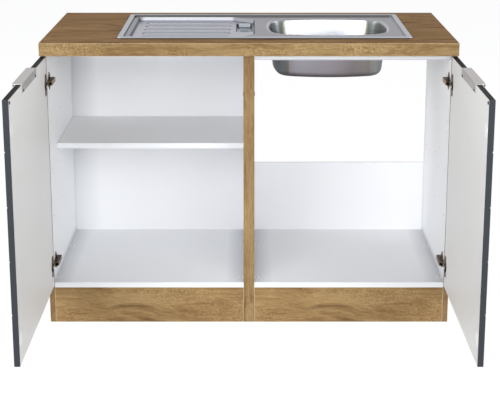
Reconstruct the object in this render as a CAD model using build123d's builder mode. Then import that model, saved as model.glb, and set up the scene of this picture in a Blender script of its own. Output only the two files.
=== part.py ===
from build123d import *
import math
import os

# A kitchen sink unit, 1.2 m long: two 600 mm base cabinets side by side under one worktop, with an
# inset steel sink, its bowl over the right-hand cabinet, and one door on each outer side.
# Frame: X to the right, Y to the back, Z up. The origin is on the floor, in the middle of the carcass.
# The doors are drawn open at a right angle, as they stand at rest.

os.makedirs("parts", exist_ok=True)

# ---- driving dimensions, mm -------------------------------------------------------------------------

# carcass
BAY_WIDTH = 600
BOARD = 16
CARCASS_HEIGHT = 820
SIDE_DEPTH = 520
EDGE_BAND = 1
BACK_THICKNESS = 3
BACK_INSET = 2
PLINTH_HEIGHT = 110
HALF_BACK_HEIGHT = 250
RAIL_WIDTH = 50
REAR_RAIL_HEIGHT = 90
LEFT_RAIL_SETBACK = 100
BOARD_EASE = 0.6

# rows of 5 mm holes in the inner faces of the sides, as distances behind the front edge
ROW_HOLE_RADIUS = 2.5
ROW_HOLE_DEPTH = 11
FRONT_ROW = 45
FRONT_ROW_HEIGHTS = (323, 468, 580, 612)
REAR_ROW = 245
REAR_ROW_START = 324
REAR_ROW_PITCH = 144
REAR_ROW_COUNT = 4

# shelf
SHELF_BOTTOM = 504
SHELF_SETBACK = 148
SHELF_SIDE_GAP = 0.5
SHELF_BACK_GAP = 3
SHELF_PIN_FRONT = 24
SHELF_PIN_BACK = 57
SHELF_HOLE_DROP = 64
SHELF_PIN_REACH = 9
SHELF_PIN_COLLAR = 1.5

# worktop
WORKTOP_THICKNESS = 38
WORKTOP_DEPTH = 600
WORKTOP_OVERHANG = 30
WORKTOP_NOSE = 3

# sink
SINK_LENGTH = 860
SINK_DEPTH = 470
SINK_SHIFT = 9
SINK_CORNER = 12
SHEET = 1.0
RIM_HEIGHT = 4.5
RIM_SIDE = 16
RIM_BACK = 28
RIM_ROUND = 1.6
RIM_GAP = 0.3
DECK_CORNER = 9
CUTOUT_LAP = 10
CUTOUT_CORNER = 14
SEAL_WIDTH = 6

# drainer pan, its ridges and the overflow well at its bowl end
PAN_DEPTH = 10
PAN_SLOPE_ANGLE = 25
PAN_LEFT_MARGIN = 15
PAN_FRONT_MARGIN = 29
PAN_BACK_MARGIN = 17
PAN_BOWL_GAP = 34.7
PAN_BACK_CUT = (67, 59)
PAN_FRONT_CUT = (38, 46)
PAN_CORNER = 12
PAN_ROUND = 3
RIDGE_COUNT = 5
RIDGE_PITCH = 66
RIDGE_WIDTH = 24
RIDGE_HEIGHT = 2.5
RIDGE_CREST = 9.6
RIDGE_EDGE = 0.5
RIDGE_LEFT_GAP = 24
RIDGE_RIGHT_GAP = 6
WELL_WIDTH = 46
WELL_LENGTH = 165
WELL_DEPTH = 11
WELL_SLOPE_ANGLE = 14
WELL_CORNER = 8
WELL_BACK_GAP = 6
WELL_SIDE_GAP = 2
OVERFLOW_SLOTS = 5
OVERFLOW_SLOT = (26, 3)
OVERFLOW_PITCH = 7

# bowl
BOWL_LENGTH = 360
BOWL_WIDTH = 330
BOWL_SIDE_GAP = 44.7
BOWL_RIGHT_MARGIN = 55.3
BOWL_DEPTH = 132
BOWL_END_RADIUS = 520
BOWL_SIDE_RADIUS = 420
BOWL_CORNER = 70
BOWL_DRAFT_ANGLE = 6.5
BOWL_FLOOR_ROUND = 20
BOWL_LIP = 8
BOWL_LIP_ROUND = 6
WASTE_HOLE_RADIUS = 45
WASTE_SEAT_RADIUS = 57
WASTE_SEAT_DEPTH = 5

# doors, closed: a small gap to the carcass all round
DOOR_THICKNESS = 16
DOOR_SIDE_GAP = 1.5
DOOR_BOTTOM_GAP = 8
DOOR_TOP_GAP = 4
DOOR_GAP = 3
DOOR_EASE = 1
GROOVE_COUNT = 4
GROOVE_PITCH = 142
GROOVE_FROM_TOP = 132
GROOVE_WIDTH = 4
GROOVE_DEPTH = 3

# concealed hinges
HINGE_FROM_BOTTOM = 68
HINGE_FROM_TOP = 80
CUP_RADIUS = 17.5
CUP_DEPTH = 11.5
CUP_EDGE = 5
CUP_WALL = 1.2
FLANGE_HEIGHT = 66
FLANGE_WIDTH = 22
FLANGE_THICKNESS = 1.5
FLANGE_HOLE_PITCH = 52
FLANGE_HOLE_SHIFT = 5.5
PIVOT_INSET = 5.5
PIVOT_DEPTH = 9
LINK_CLEARANCE = 1.0
LINK_THICKNESS = 1.2
LINK_WIDTH = 8.8
LINK_START_ANGLE = 4
LINK_END_ANGLE = 111
LINK_PIN_RADIUS = 1.2
ARM_SHEET = 1.2
ARM_WIDTH = 12.6
ARM_HEIGHT = 15
ARM_BACK = 74
ARM_PIN_RADIUS = 1.0
PLATE_LINE = 37
PLATE_WING = 52
PLATE_THICKNESS = 2
PLATE_BODY_WIDTH = 15.4
PLATE_BODY_CORNER = 3
PLATE_NOSE = 2
PLATE_TAIL = 2
PLATE_SCREW_PITCH = 32
PLATE_FRONT = 6
WING_TIP = 5
NECK_CLEARANCE = 0.6
NECK_SETBACK = 1
NECK_HEIGHT = 4.9
NECK_WIDTH = 3.6
ARM_BEND = 4
ARM_SHOULDER = 6

# handle: a folded strip hooked over the top edge of the door
HANDLE_LENGTH = 224
HANDLE_SHEET = 2
HANDLE_PROUD = 9
HANDLE_LIP = 9
HANDLE_FLANGE = 22
HANDLE_SCREW_INSET = 16
HANDLE_SCREW_CLEARANCE = 1.7
HANDLE_BEND = 0.8

# small door parts
CAP_RADIUS = 18.5
CAP_THICKNESS = 1
CAP_PLUG_DEPTH = 7
BUMPER_RADIUS = 4.5
BUMPER_THICKNESS = 2
BUMPER_INSET = 9

# fixings
SCREW_RADIUS = 2
SCREW_HEAD_RADIUS = 3.8
SCREW_HEAD_HEIGHT = 1.6
SCREW_SLOT_WIDTH = 0.8
SCREW_SLOT_DEPTH = 0.9
SCREW_LENGTH = 11
HEAD_TAPER_ANGLE = 25
CONNECTOR_ROWS = (47, 346)
CONNECTOR_RADIUS = 10
CONNECTOR_INSET = 7
CONNECTOR_DEPTH = 12.5
CONNECTOR_SOCKET = 2.6
CONNECTOR_SOCKET_DEPTH = 6
CONNECTOR_STUD_RADIUS = 3
CONNECTOR_STUD_REACH = 10
JOINING_BOLT_HEIGHTS = (230, 690)
JOINING_BOLT_SETBACK = 70
JOINING_BOLT_RADIUS = 2.5
JOINING_HEAD_RADIUS = 6.5
JOINING_HEAD_HEIGHT = 2
NAIL_PITCH = 135
NAIL_RADIUS = 0.8
NAIL_HEAD_RADIUS = 2.5
NAIL_HEAD_HEIGHT = 0.8
NAIL_LENGTH = 18
WORKTOP_SCREW_REACH = 14
WORKTOP_SCREW_INSET = 60
BRACKET_LEG = 28
BRACKET_WIDTH = 18
BRACKET_SHEET = 1.8
BRACKET_HOLE_SETBACK = 18.7
CLIP_WIDTH = 14
CLIP_SHEET = 1.5
CLIP_REACH = 18
CLIP_TAB = 12
CLIP_FOOT_DROP = 8
CLIP_RAIL_GAP = 4.5
CLIP_REAR_GAP = 107.5
CLIP_END_GAP = 93
CLIP_SIDE_GAP = 74

# clearances
SLIP = 0.1
SEAT = 0.3

# ---- derived places ---------------------------------------------------------------------------------

FRONT = -SIDE_DEPTH / 2
REAR = SIDE_DEPTH / 2
HALF_UNIT = BAY_WIDTH
BAY_INNER = BOARD
BAY_OUTER = HALF_UNIT - BOARD
FLOOR_TOP = PLINTH_HEIGHT + BOARD
RAIL_BOTTOM = CARCASS_HEIGHT - BOARD
SHELF_HOLE_HEIGHT = SHELF_BOTTOM - ROW_HOLE_RADIUS
SHELF_PIN_ROWS = (SHELF_SETBACK + SHELF_PIN_FRONT, SIDE_DEPTH - SHELF_BACK_GAP - SHELF_PIN_BACK)
BACK_BOTTOM = PLINTH_HEIGHT + BACK_INSET
BACK_TOPS = {-1: CARCASS_HEIGHT - BACK_INSET, 1: BACK_BOTTOM + HALF_BACK_HEIGHT}

TOP = CARCASS_HEIGHT + WORKTOP_THICKNESS
WORKTOP_FRONT = FRONT - WORKTOP_OVERHANG
WORKTOP_REAR = WORKTOP_FRONT + WORKTOP_DEPTH

BOWL_LEFT = BAY_INNER + BOWL_SIDE_GAP
BOWL_X = BOWL_LEFT + BOWL_LENGTH / 2
BOWL_Y = (WORKTOP_FRONT + WORKTOP_REAR) / 2 + SINK_SHIFT
BOWL_FLOOR = TOP - BOWL_DEPTH

SINK_RIGHT = BOWL_LEFT + BOWL_LENGTH + BOWL_RIGHT_MARGIN
SINK_LEFT = SINK_RIGHT - SINK_LENGTH
SINK_FRONT = BOWL_Y - SINK_DEPTH / 2
SINK_REAR = BOWL_Y + SINK_DEPTH / 2
DECK_LEFT = SINK_LEFT + RIM_SIDE
DECK_RIGHT = SINK_RIGHT - RIM_SIDE
DECK_FRONT = SINK_FRONT + RIM_SIDE
DECK_REAR = SINK_REAR - RIM_BACK

PAN_FLOOR = TOP - PAN_DEPTH
PAN_RUN = PAN_DEPTH * math.tan(math.radians(PAN_SLOPE_ANGLE))
PAN_LEFT = DECK_LEFT + PAN_LEFT_MARGIN
PAN_RIGHT = BOWL_LEFT - BOWL_LIP - PAN_BOWL_GAP
PAN_FRONT = DECK_FRONT + PAN_FRONT_MARGIN
PAN_REAR = DECK_REAR - PAN_BACK_MARGIN
PAN_MIDDLE = (PAN_FRONT + PAN_REAR) / 2
WELL_RIGHT = PAN_RIGHT - PAN_RUN - WELL_SIDE_GAP
WELL_X = WELL_RIGHT - WELL_WIDTH / 2 - WELL_DEPTH * math.tan(math.radians(WELL_SLOPE_ANGLE))
WELL_Y = PAN_REAR - PAN_BACK_CUT[1] - PAN_RUN - WELL_BACK_GAP - WELL_LENGTH / 2

DOOR_TOP = CARCASS_HEIGHT - DOOR_TOP_GAP
DOOR_BOTTOM = PLINTH_HEIGHT + DOOR_BOTTOM_GAP
HINGE_HEIGHTS = (DOOR_BOTTOM + HINGE_FROM_BOTTOM, DOOR_TOP - HINGE_FROM_TOP)
DOOR_WIDTH = BAY_WIDTH - 2 * DOOR_SIDE_GAP
PIVOT_X = HALF_UNIT - DOOR_SIDE_GAP - PIVOT_INSET
PIVOT_Y = FRONT - DOOR_GAP - PIVOT_DEPTH
DOOR_INNER = PIVOT_X - PIVOT_DEPTH
DOOR_OUTER = DOOR_INNER + DOOR_THICKNESS
DOOR_HINGE_EDGE = PIVOT_Y + PIVOT_INSET
DOOR_FREE_EDGE = DOOR_HINGE_EDGE - DOOR_WIDTH
DOOR_MIDDLE = (DOOR_HINGE_EDGE + DOOR_FREE_EDGE) / 2
HANDLE_SCREW_Z = RAIL_BOTTOM - SCREW_HEAD_RADIUS - HANDLE_SCREW_CLEARANCE
CUP_INSET = CUP_RADIUS + CUP_EDGE
CUP_Y = DOOR_HINGE_EDGE - CUP_INSET
CAP_Y = DOOR_FREE_EDGE + CUP_INSET
LINK_RADIUS = PIVOT_DEPTH + LINK_CLEARANCE + LINK_THICKNESS / 2
NECK_TIP = LINK_RADIUS + LINK_THICKNESS / 2 + NECK_CLEARANCE

LEFT, RIGHT = -1, 1
SIDE_NAME = {LEFT: "left", RIGHT: "right"}


# ---- helpers ----------------------------------------------------------------------------------------

def save(piece, name):
    """Label one finished piece and write it."""
    piece.label = name
    export_step(piece, f"parts/{name}.step")


def plate(x_limits, y_limits, z_limits, ease=0.0):
    """A rectangular piece between three pairs of limits, its long edges eased a little."""
    (x0, x1), (y0, y1), (z0, z1) = sorted(x_limits), sorted(y_limits), sorted(z_limits)
    with BuildPart() as piece:
        with BuildSketch(Plane.XY.offset(z0)):
            with Locations(((x0 + x1) / 2, (y0 + y1) / 2)):
                Rectangle(x1 - x0, y1 - y0)
        extrude(amount=z1 - z0)
        if ease:
            chamfer(piece.edges(), length=ease)
    return piece.part


def bay_limits(side, outer_gap=0.0, inner_gap=0.0):
    """The clear width of one bay, between its two sides."""
    return side * (BAY_INNER + inner_gap), side * (BAY_OUTER - outer_gap)


def mirrored(piece, side):
    """A piece drawn on the right-hand side, moved to the side asked for."""
    return piece if side == RIGHT else mirror(piece, about=Plane.YZ)


def group(pieces):
    """Several separate solids that share one node."""
    return Compound(children=list(pieces))


def screw(x, y, z, direction, length):
    """A cross-headed screw: its head seated at a point, its shank going the way of direction."""
    seat = Plane(origin=(x, y, z), z_dir=direction)
    with BuildPart() as piece:
        with BuildSketch(seat):
            Circle(SCREW_HEAD_RADIUS)
        extrude(amount=-SCREW_HEAD_HEIGHT, taper=HEAD_TAPER_ANGLE)
        with BuildSketch(seat):
            Circle(SCREW_RADIUS)
        extrude(amount=length)
        with BuildSketch(seat.offset(-SCREW_HEAD_HEIGHT)):
            Rectangle(SCREW_HEAD_RADIUS, SCREW_SLOT_WIDTH)
            Rectangle(SCREW_SLOT_WIDTH, SCREW_HEAD_RADIUS)
        extrude(amount=SCREW_SLOT_DEPTH, mode=Mode.SUBTRACT)
    return piece.part


# ---- carcass ----------------------------------------------------------------------------------------

def hole_rows():
    """Places of the 5 mm holes in a side, as (y, z)."""
    front = [(FRONT + FRONT_ROW, z) for z in FRONT_ROW_HEIGHTS]
    rear = [(FRONT + REAR_ROW, REAR_ROW_START + i * REAR_ROW_PITCH) for i in range(REAR_ROW_COUNT)]
    heights = (SHELF_HOLE_HEIGHT, SHELF_HOLE_HEIGHT - SHELF_HOLE_DROP)
    shelf = [(FRONT + row, z) for row in SHELF_PIN_ROWS for z in heights]
    return front + rear + shelf


def connector_places():
    """Heights and rows where boards are bolted to a side, as (y, z) of each stud."""
    return [(FRONT + row, PLINTH_HEIGHT + BOARD / 2) for row in CONNECTOR_ROWS]


def side_panel(side, outer):
    """One side of a cabinet: drilled on its inner face, banded on its front edge."""
    face = BAY_OUTER if outer else BAY_INNER
    back = HALF_UNIT if outer else 0
    into = 1 if outer else -1
    with BuildPart() as panel:
        add(plate((face, back), (FRONT + EDGE_BAND, REAR), (0, CARCASS_HEIGHT)))
        with BuildSketch(Plane.YZ.offset(face)):
            with Locations(*hole_rows()):
                Circle(ROW_HOLE_RADIUS)
        extrude(amount=into * ROW_HOLE_DEPTH, mode=Mode.SUBTRACT)
        with BuildSketch(Plane.YZ.offset(face)):
            with Locations(*connector_places()):
                Circle(CONNECTOR_STUD_RADIUS + SLIP)
        extrude(amount=into * (CONNECTOR_STUD_REACH + SLIP), mode=Mode.SUBTRACT)
        if outer:
            with BuildSketch(Plane.YZ.offset(face)):
                with Locations(*plate_screw_places()):
                    Circle(SCREW_RADIUS + SLIP)
            extrude(amount=SCREW_LENGTH + SLIP, mode=Mode.SUBTRACT)
        else:
            with BuildSketch(Plane.YZ.offset(face)):
                with Locations(*joining_bolt_places()):
                    Circle(JOINING_BOLT_RADIUS + SLIP)
            extrude(amount=-BOARD, mode=Mode.SUBTRACT)
        add(mirrored(nail_holes(side), side), mode=Mode.SUBTRACT)
    return mirrored(panel.part, side)


def edge_band(side, outer):
    """The oak band glued to the front edge of a side."""
    span = (BAY_OUTER, HALF_UNIT) if outer else (0, BAY_INNER)
    band = plate(span, (FRONT, FRONT + EDGE_BAND), (0, CARCASS_HEIGHT))
    return mirrored(band, side)


def floor_panel(side):
    """The bottom board of a bay, bored for its four connectors."""
    low, high = sorted(bay_limits(side))
    with BuildPart() as panel:
        add(plate((low, high), (FRONT, REAR), (PLINTH_HEIGHT, FLOOR_TOP)))
        for x_end, inward in ((low, 1), (high, -1)):
            with BuildSketch(Plane.XY.offset(FLOOR_TOP)):
                with Locations(*[(x_end + inward * CONNECTOR_INSET, y) for y, _ in connector_places()]):
                    Circle(CONNECTOR_RADIUS + SLIP)
            extrude(amount=-CONNECTOR_DEPTH, mode=Mode.SUBTRACT)
        add(nail_holes(side), mode=Mode.SUBTRACT)
    return panel.part


def top_rail(side, y_front):
    """A flat rail across the top of a bay, bored for its worktop screws."""
    places = [place for place in worktop_screw_places() if place[2] == RAIL_BOTTOM]
    y_span = (y_front, y_front + RAIL_WIDTH)
    with BuildPart() as piece:
        add(plate(bay_limits(side), y_span, (RAIL_BOTTOM, CARCASS_HEIGHT), BOARD_EASE))
        add(pilot_holes(RAIL_BOTTOM, BOARD, places), mode=Mode.SUBTRACT)
    return piece.part


def rear_rail(side):
    """An upright rail across the top of a bay's back."""
    span = (CARCASS_HEIGHT - REAR_RAIL_HEIGHT, CARCASS_HEIGHT)
    return plate(bay_limits(side), (REAR - BOARD, REAR), span, BOARD_EASE)


def back_board(side):
    """Thin board nailed to the rear edges of a bay: full height on the left, low on the right."""
    span = (side * BACK_INSET, side * (HALF_UNIT - BACK_INSET))
    with BuildPart() as board:
        add(plate(span, (REAR, REAR + BACK_THICKNESS), (BACK_BOTTOM, BACK_TOPS[side])))
        add(nail_holes(side), mode=Mode.SUBTRACT)
    return board.part


def shelf():
    """The loose shelf of the left bay."""
    span = bay_limits(LEFT, SHELF_SIDE_GAP, SHELF_SIDE_GAP)
    y_span = (FRONT + SHELF_SETBACK, REAR - SHELF_BACK_GAP)
    return plate(span, y_span, (SHELF_BOTTOM, SHELF_BOTTOM + BOARD), BOARD_EASE)


def shelf_pin(face, into_bay, row):
    """A shelf support: a pin in the side, a collar against it and a spoon under the shelf."""
    with BuildPart() as pin:
        with BuildSketch(Plane.YZ.offset(face)):
            with Locations((FRONT + row, SHELF_HOLE_HEIGHT)):
                Circle(ROW_HOLE_RADIUS - SLIP)
        extrude(amount=-into_bay * SHELF_PIN_REACH)
        with BuildSketch(Plane.YZ.offset(face)):
            with Locations((FRONT + row, SHELF_HOLE_HEIGHT - 2 * SLIP)):
                Circle(ROW_HOLE_RADIUS)
        extrude(amount=into_bay * SHELF_PIN_REACH)
        with BuildSketch(Plane.YZ.offset(face)):
            with Locations((FRONT + row, SHELF_HOLE_HEIGHT - SHELF_PIN_COLLAR - 3 * SLIP)):
                Circle(ROW_HOLE_RADIUS + SHELF_PIN_COLLAR)
        extrude(amount=into_bay * SHELF_PIN_COLLAR)
    return pin.part


# ---- fixings of the carcass -------------------------------------------------------------------------

def floor_ends():
    """The ends of both bottom boards, as (x, direction into the board)."""
    ends = []
    for side in (LEFT, RIGHT):
        low, high = sorted(bay_limits(side))
        ends += [(low, 1), (high, -1)]
    return ends


def connector_housing(x_end, inward, y):
    """A round plastic housing let into a board, cut off flush at the board's end."""
    with BuildPart() as housing:
        with BuildSketch(Plane.XY.offset(FLOOR_TOP)):
            with Locations((x_end + inward * CONNECTOR_INSET, y)):
                Circle(CONNECTOR_RADIUS)
            with Locations((x_end - inward * CONNECTOR_RADIUS, y)):
                Rectangle(2 * CONNECTOR_RADIUS, 4 * CONNECTOR_RADIUS, mode=Mode.SUBTRACT)
        extrude(amount=-CONNECTOR_DEPTH)
        with BuildSketch(Plane.XY.offset(FLOOR_TOP)):
            with Locations((x_end + inward * CONNECTOR_INSET, y)):
                Circle(CONNECTOR_SOCKET)
        extrude(amount=-CONNECTOR_SOCKET_DEPTH, mode=Mode.SUBTRACT)
        with BuildSketch(Plane.YZ.offset(x_end)):
            with Locations((y, PLINTH_HEIGHT + BOARD / 2)):
                Circle(CONNECTOR_STUD_RADIUS + SLIP)
        extrude(amount=inward * CONNECTOR_INSET, mode=Mode.SUBTRACT)
    return housing.part


def connector_stud(x_end, inward, y):
    """The steel stud that the housing pulls on, screwed into the side."""
    with BuildPart() as stud:
        with BuildSketch(Plane.YZ.offset(x_end + inward * (CONNECTOR_INSET - SEAT))):
            with Locations((y, PLINTH_HEIGHT + BOARD / 2)):
                Circle(CONNECTOR_STUD_RADIUS)
        extrude(amount=-inward * (CONNECTOR_INSET - SEAT + CONNECTOR_STUD_REACH))
    return stud.part


def joining_bolt_places():
    """Where the two cabinets are bolted together, as (y, z)."""
    return [(FRONT + JOINING_BOLT_SETBACK, z) for z in JOINING_BOLT_HEIGHTS]


def joining_bolt(y, z):
    """A sleeve bolt through both middle sides, with a low head in each bay."""
    with BuildPart() as bolt:
        with BuildSketch(Plane.YZ.offset(-BAY_INNER)):
            with Locations((y, z)):
                Circle(JOINING_BOLT_RADIUS)
        extrude(amount=2 * BAY_INNER)
        for face, outward in ((BAY_INNER, 1), (-BAY_INNER, -1)):
            with BuildSketch(Plane.YZ.offset(face)):
                with Locations((y, z)):
                    Circle(JOINING_HEAD_RADIUS)
            extrude(amount=outward * JOINING_HEAD_HEIGHT, taper=HEAD_TAPER_ANGLE)
    return bolt.part


def nail_places(side):
    """Nails round one back board, as (x, z): up both sides and along the bottom board."""
    low = PLINTH_HEIGHT + BOARD / 2
    steps = int((BACK_TOPS[side] - low - BOARD) // NAIL_PITCH)
    edges = (side * BOARD / 2, side * (HALF_UNIT - BOARD / 2))
    upright = [(x, low + BOARD + i * NAIL_PITCH) for x in edges for i in range(steps + 1)]
    count = int(BAY_WIDTH // NAIL_PITCH)
    along = [side * (BAY_WIDTH / 2 + (i - (count - 1) / 2) * NAIL_PITCH) for i in range(count)]
    return upright + [(x, low) for x in along]


def nail_holes(side):
    """The holes for a back board's nails, as solids to cut away."""
    with BuildPart() as holes:
        with BuildSketch(Plane.XZ.offset(-REAR - BACK_THICKNESS)):
            with Locations(*nail_places(side)):
                Circle(NAIL_RADIUS + SLIP)
        extrude(amount=NAIL_LENGTH + SLIP)
    return holes.part


def nail(x, z):
    """One nail, its head on the back board and its shank in the board in front of it."""
    with BuildPart() as piece:
        with BuildSketch(Plane.XZ.offset(-REAR - BACK_THICKNESS)):
            with Locations((x, z)):
                Circle(NAIL_HEAD_RADIUS)
        extrude(amount=-NAIL_HEAD_HEIGHT, taper=HEAD_TAPER_ANGLE)
        with BuildSketch(Plane.XZ.offset(-REAR - BACK_THICKNESS)):
            with Locations((x, z)):
                Circle(NAIL_RADIUS)
        extrude(amount=NAIL_LENGTH)
    return piece.part


def bracket(x):
    """A steel angle in the corner between a rear rail and the worktop, with its screw hole."""
    rail_face = REAR - BOARD
    width = (x - BRACKET_WIDTH / 2, x + BRACKET_WIDTH / 2)
    top = CARCASS_HEIGHT
    with BuildPart() as angle:
        add(plate(width, (rail_face - BRACKET_SHEET, rail_face), (top - BRACKET_LEG, top)))
        add(plate(width, (rail_face - BRACKET_LEG, rail_face), (top - BRACKET_SHEET, top)))
        with BuildSketch(Plane.XY.offset(top)):
            with Locations((x, rail_face - BRACKET_HOLE_SETBACK)):
                Circle(SCREW_RADIUS + SLIP)
        extrude(amount=-BRACKET_SHEET, mode=Mode.SUBTRACT)
    return angle.part


# ---- worktop ----------------------------------------------------------------------------------------

def worktop_screw_places():
    """Screws from below into the worktop, as (x, y, seat height)."""
    front_y = FRONT + RAIL_WIDTH / 2
    inset = WORKTOP_SCREW_INSET
    right = [(x, front_y, RAIL_BOTTOM) for x in (BAY_INNER + inset, BAY_WIDTH / 2, BAY_OUTER - inset)]
    left = [(-BAY_OUTER + inset, front_y + LEFT_RAIL_SETBACK, RAIL_BOTTOM)]
    bracket_y = REAR - BOARD - BRACKET_HOLE_SETBACK
    angles = [(x, bracket_y, CARCASS_HEIGHT - BRACKET_SHEET) for x in bracket_places()]
    return right + left + angles


def bracket_places():
    """One angle at the outer end of each rear rail, clear of the sink."""
    return [side * (BAY_OUTER - BRACKET_WIDTH) for side in (LEFT, RIGHT)]


def pilot_holes(z, depth, places):
    """The holes for screws driven upwards, from height z, as solids to cut away."""
    with BuildPart() as holes:
        with BuildSketch(Plane.XY.offset(z)):
            with Locations(*[(x, y) for x, y, _ in places]):
                Circle(SCREW_RADIUS + SLIP)
        extrude(amount=depth)
    return holes.part


def worktop():
    """The worktop: rounded long edges and a cut-out for the sink."""
    with BuildPart() as top:
        add(plate((-HALF_UNIT, HALF_UNIT), (WORKTOP_FRONT, WORKTOP_REAR), (CARCASS_HEIGHT, TOP)))
        nose = top.edges().filter_by(Axis.X).group_by(Axis.Y)[0]
        fillet(nose, radius=WORKTOP_NOSE)
        with BuildSketch(Plane.XY.offset(CARCASS_HEIGHT)):
            with Locations(((SINK_LEFT + SINK_RIGHT) / 2, BOWL_Y)):
                RectangleRounded(SINK_LENGTH - 2 * CUTOUT_LAP, SINK_DEPTH - 2 * CUTOUT_LAP, CUTOUT_CORNER)
        extrude(amount=WORKTOP_THICKNESS, mode=Mode.SUBTRACT)
        add(pilot_holes(CARCASS_HEIGHT, WORKTOP_SCREW_REACH, worktop_screw_places()), mode=Mode.SUBTRACT)
    return top.part


# ---- sink -------------------------------------------------------------------------------------------

def rounded_outline(x_limits, y_limits, corner):
    """A rounded rectangle between two pairs of limits."""
    (x0, x1), (y0, y1) = x_limits, y_limits
    with BuildSketch() as outline:
        with Locations(((x0 + x1) / 2, (y0 + y1) / 2)):
            RectangleRounded(x1 - x0, y1 - y0, corner)
    return outline.sketch


def sink_outline(inset=0.0, corner=SINK_CORNER):
    """The outer edge of the rim, or a line inside it."""
    x_limits = (SINK_LEFT + inset, SINK_RIGHT - inset)
    return rounded_outline(x_limits, (SINK_FRONT + inset, SINK_REAR - inset), corner)


def deck_outline(grow=0.0):
    """The sunken deck inside the rim, or a line outside it."""
    x_limits = (DECK_LEFT - grow, DECK_RIGHT + grow)
    return rounded_outline(x_limits, (DECK_FRONT - grow, DECK_REAR + grow), DECK_CORNER + grow)


def pan_outline(shrink):
    """The drainer pan seen from above, its bowl end cut away at both corners."""
    back_x, back_y = PAN_BACK_CUT
    front_x, front_y = PAN_FRONT_CUT
    with BuildSketch() as outline:
        with BuildLine():
            Polyline((PAN_LEFT, PAN_FRONT), (PAN_RIGHT - front_x, PAN_FRONT),
                     (PAN_RIGHT, PAN_FRONT + front_y), (PAN_RIGHT, PAN_REAR - back_y),
                     (PAN_RIGHT - back_x, PAN_REAR), (PAN_LEFT, PAN_REAR), close=True)
        make_face()
        fillet(outline.vertices(), radius=PAN_CORNER + PAN_RUN)
        offset(amount=-shrink, mode=Mode.REPLACE)
    return outline.sketch


def wall_growth(slope, sheet):
    """How far the underside of a pressed wall lies outside its top side, at the floor of the press."""
    angle = math.radians(slope)
    return sheet * (1 / math.cos(angle) - math.tan(angle))


def pressing(sheet):
    """Everything above the sheet's top side, or above its underside when a thickness is given."""
    well_growth = wall_growth(WELL_SLOPE_ANGLE, sheet)
    with BuildPart() as form:
        with BuildSketch(Plane.XY.offset(PAN_FLOOR - sheet)):
            add(pan_outline(PAN_RUN - wall_growth(PAN_SLOPE_ANGLE, sheet)))
        extrude(amount=PAN_DEPTH + sheet, taper=-PAN_SLOPE_ANGLE)
        fillet(form.faces().sort_by(Axis.Z)[0].edges(), radius=PAN_ROUND + sheet)
        with BuildSketch(Plane.XY.offset(PAN_FLOOR - WELL_DEPTH - sheet)):
            with Locations((WELL_X, WELL_Y)):
                RectangleRounded(WELL_WIDTH + 2 * well_growth, WELL_LENGTH + 2 * well_growth,
                                 WELL_CORNER + well_growth)
        extrude(amount=WELL_DEPTH + sheet, taper=-WELL_SLOPE_ANGLE)
        with BuildSketch(Plane.XY.offset(TOP - sheet)):
            add(deck_outline(sheet))
        extrude(amount=RIM_HEIGHT + SHEET)
    return form.part


def bowl_outline(grow=0.0):
    """The bowl seen from above, or a line outside it: four bowed sides and large corners."""
    end_shift = BOWL_END_RADIUS - BOWL_LENGTH / 2
    side_shift = BOWL_SIDE_RADIUS - BOWL_WIDTH / 2
    with BuildSketch() as outline:
        with Locations(Location((BOWL_X - end_shift, BOWL_Y, 0), (0, 0, 180))):
            Circle(BOWL_END_RADIUS + grow)
        with Locations((BOWL_X + end_shift, BOWL_Y)):
            Circle(BOWL_END_RADIUS + grow, mode=Mode.INTERSECT)
        with Locations((BOWL_X, BOWL_Y - side_shift)):
            Circle(BOWL_SIDE_RADIUS + grow, mode=Mode.INTERSECT)
        with Locations((BOWL_X, BOWL_Y + side_shift)):
            Circle(BOWL_SIDE_RADIUS + grow, mode=Mode.INTERSECT)
        fillet(outline.vertices(), radius=BOWL_CORNER + grow)
    return outline.sketch


def sink_deck():
    """The pressed top of the sink: raised rim, sunken deck, drainer pan with ridges, overflow well."""
    skirt = RIM_HEIGHT - RIM_GAP
    with BuildPart() as deck:
        with BuildSketch(Plane.XY.offset(TOP + RIM_GAP)):
            add(sink_outline())
        extrude(amount=skirt)
        fillet(deck.faces().sort_by(Axis.Z)[-1].edges(), radius=RIM_ROUND)
        with BuildSketch(Plane.XY.offset(TOP + RIM_GAP)):
            add(sink_outline(SHEET, SINK_CORNER - SHEET))
            add(deck_outline(SHEET), mode=Mode.SUBTRACT)
        extrude(amount=skirt - SHEET, mode=Mode.SUBTRACT)
        add(pressing(SHEET) & plate((SINK_LEFT, SINK_RIGHT), (SINK_FRONT, SINK_REAR), (0, TOP + SHEET)))
        add(pressing(0), mode=Mode.SUBTRACT)
        with BuildSketch(Plane.XY.offset(TOP - SHEET)):
            add(bowl_outline(BOWL_LIP))
        extrude(amount=SHEET, mode=Mode.SUBTRACT)
        for i in range(RIDGE_COUNT):
            add(ridge(PAN_MIDDLE + (i - (RIDGE_COUNT - 1) / 2) * RIDGE_PITCH))
        with BuildSketch(Plane.XY.offset(PAN_FLOOR - WELL_DEPTH - SHEET)):
            with Locations((WELL_X, WELL_Y)):
                with GridLocations(0, OVERFLOW_PITCH, 1, OVERFLOW_SLOTS):
                    SlotOverall(*OVERFLOW_SLOT)
        extrude(amount=SHEET, mode=Mode.SUBTRACT)
    return deck.part


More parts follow.
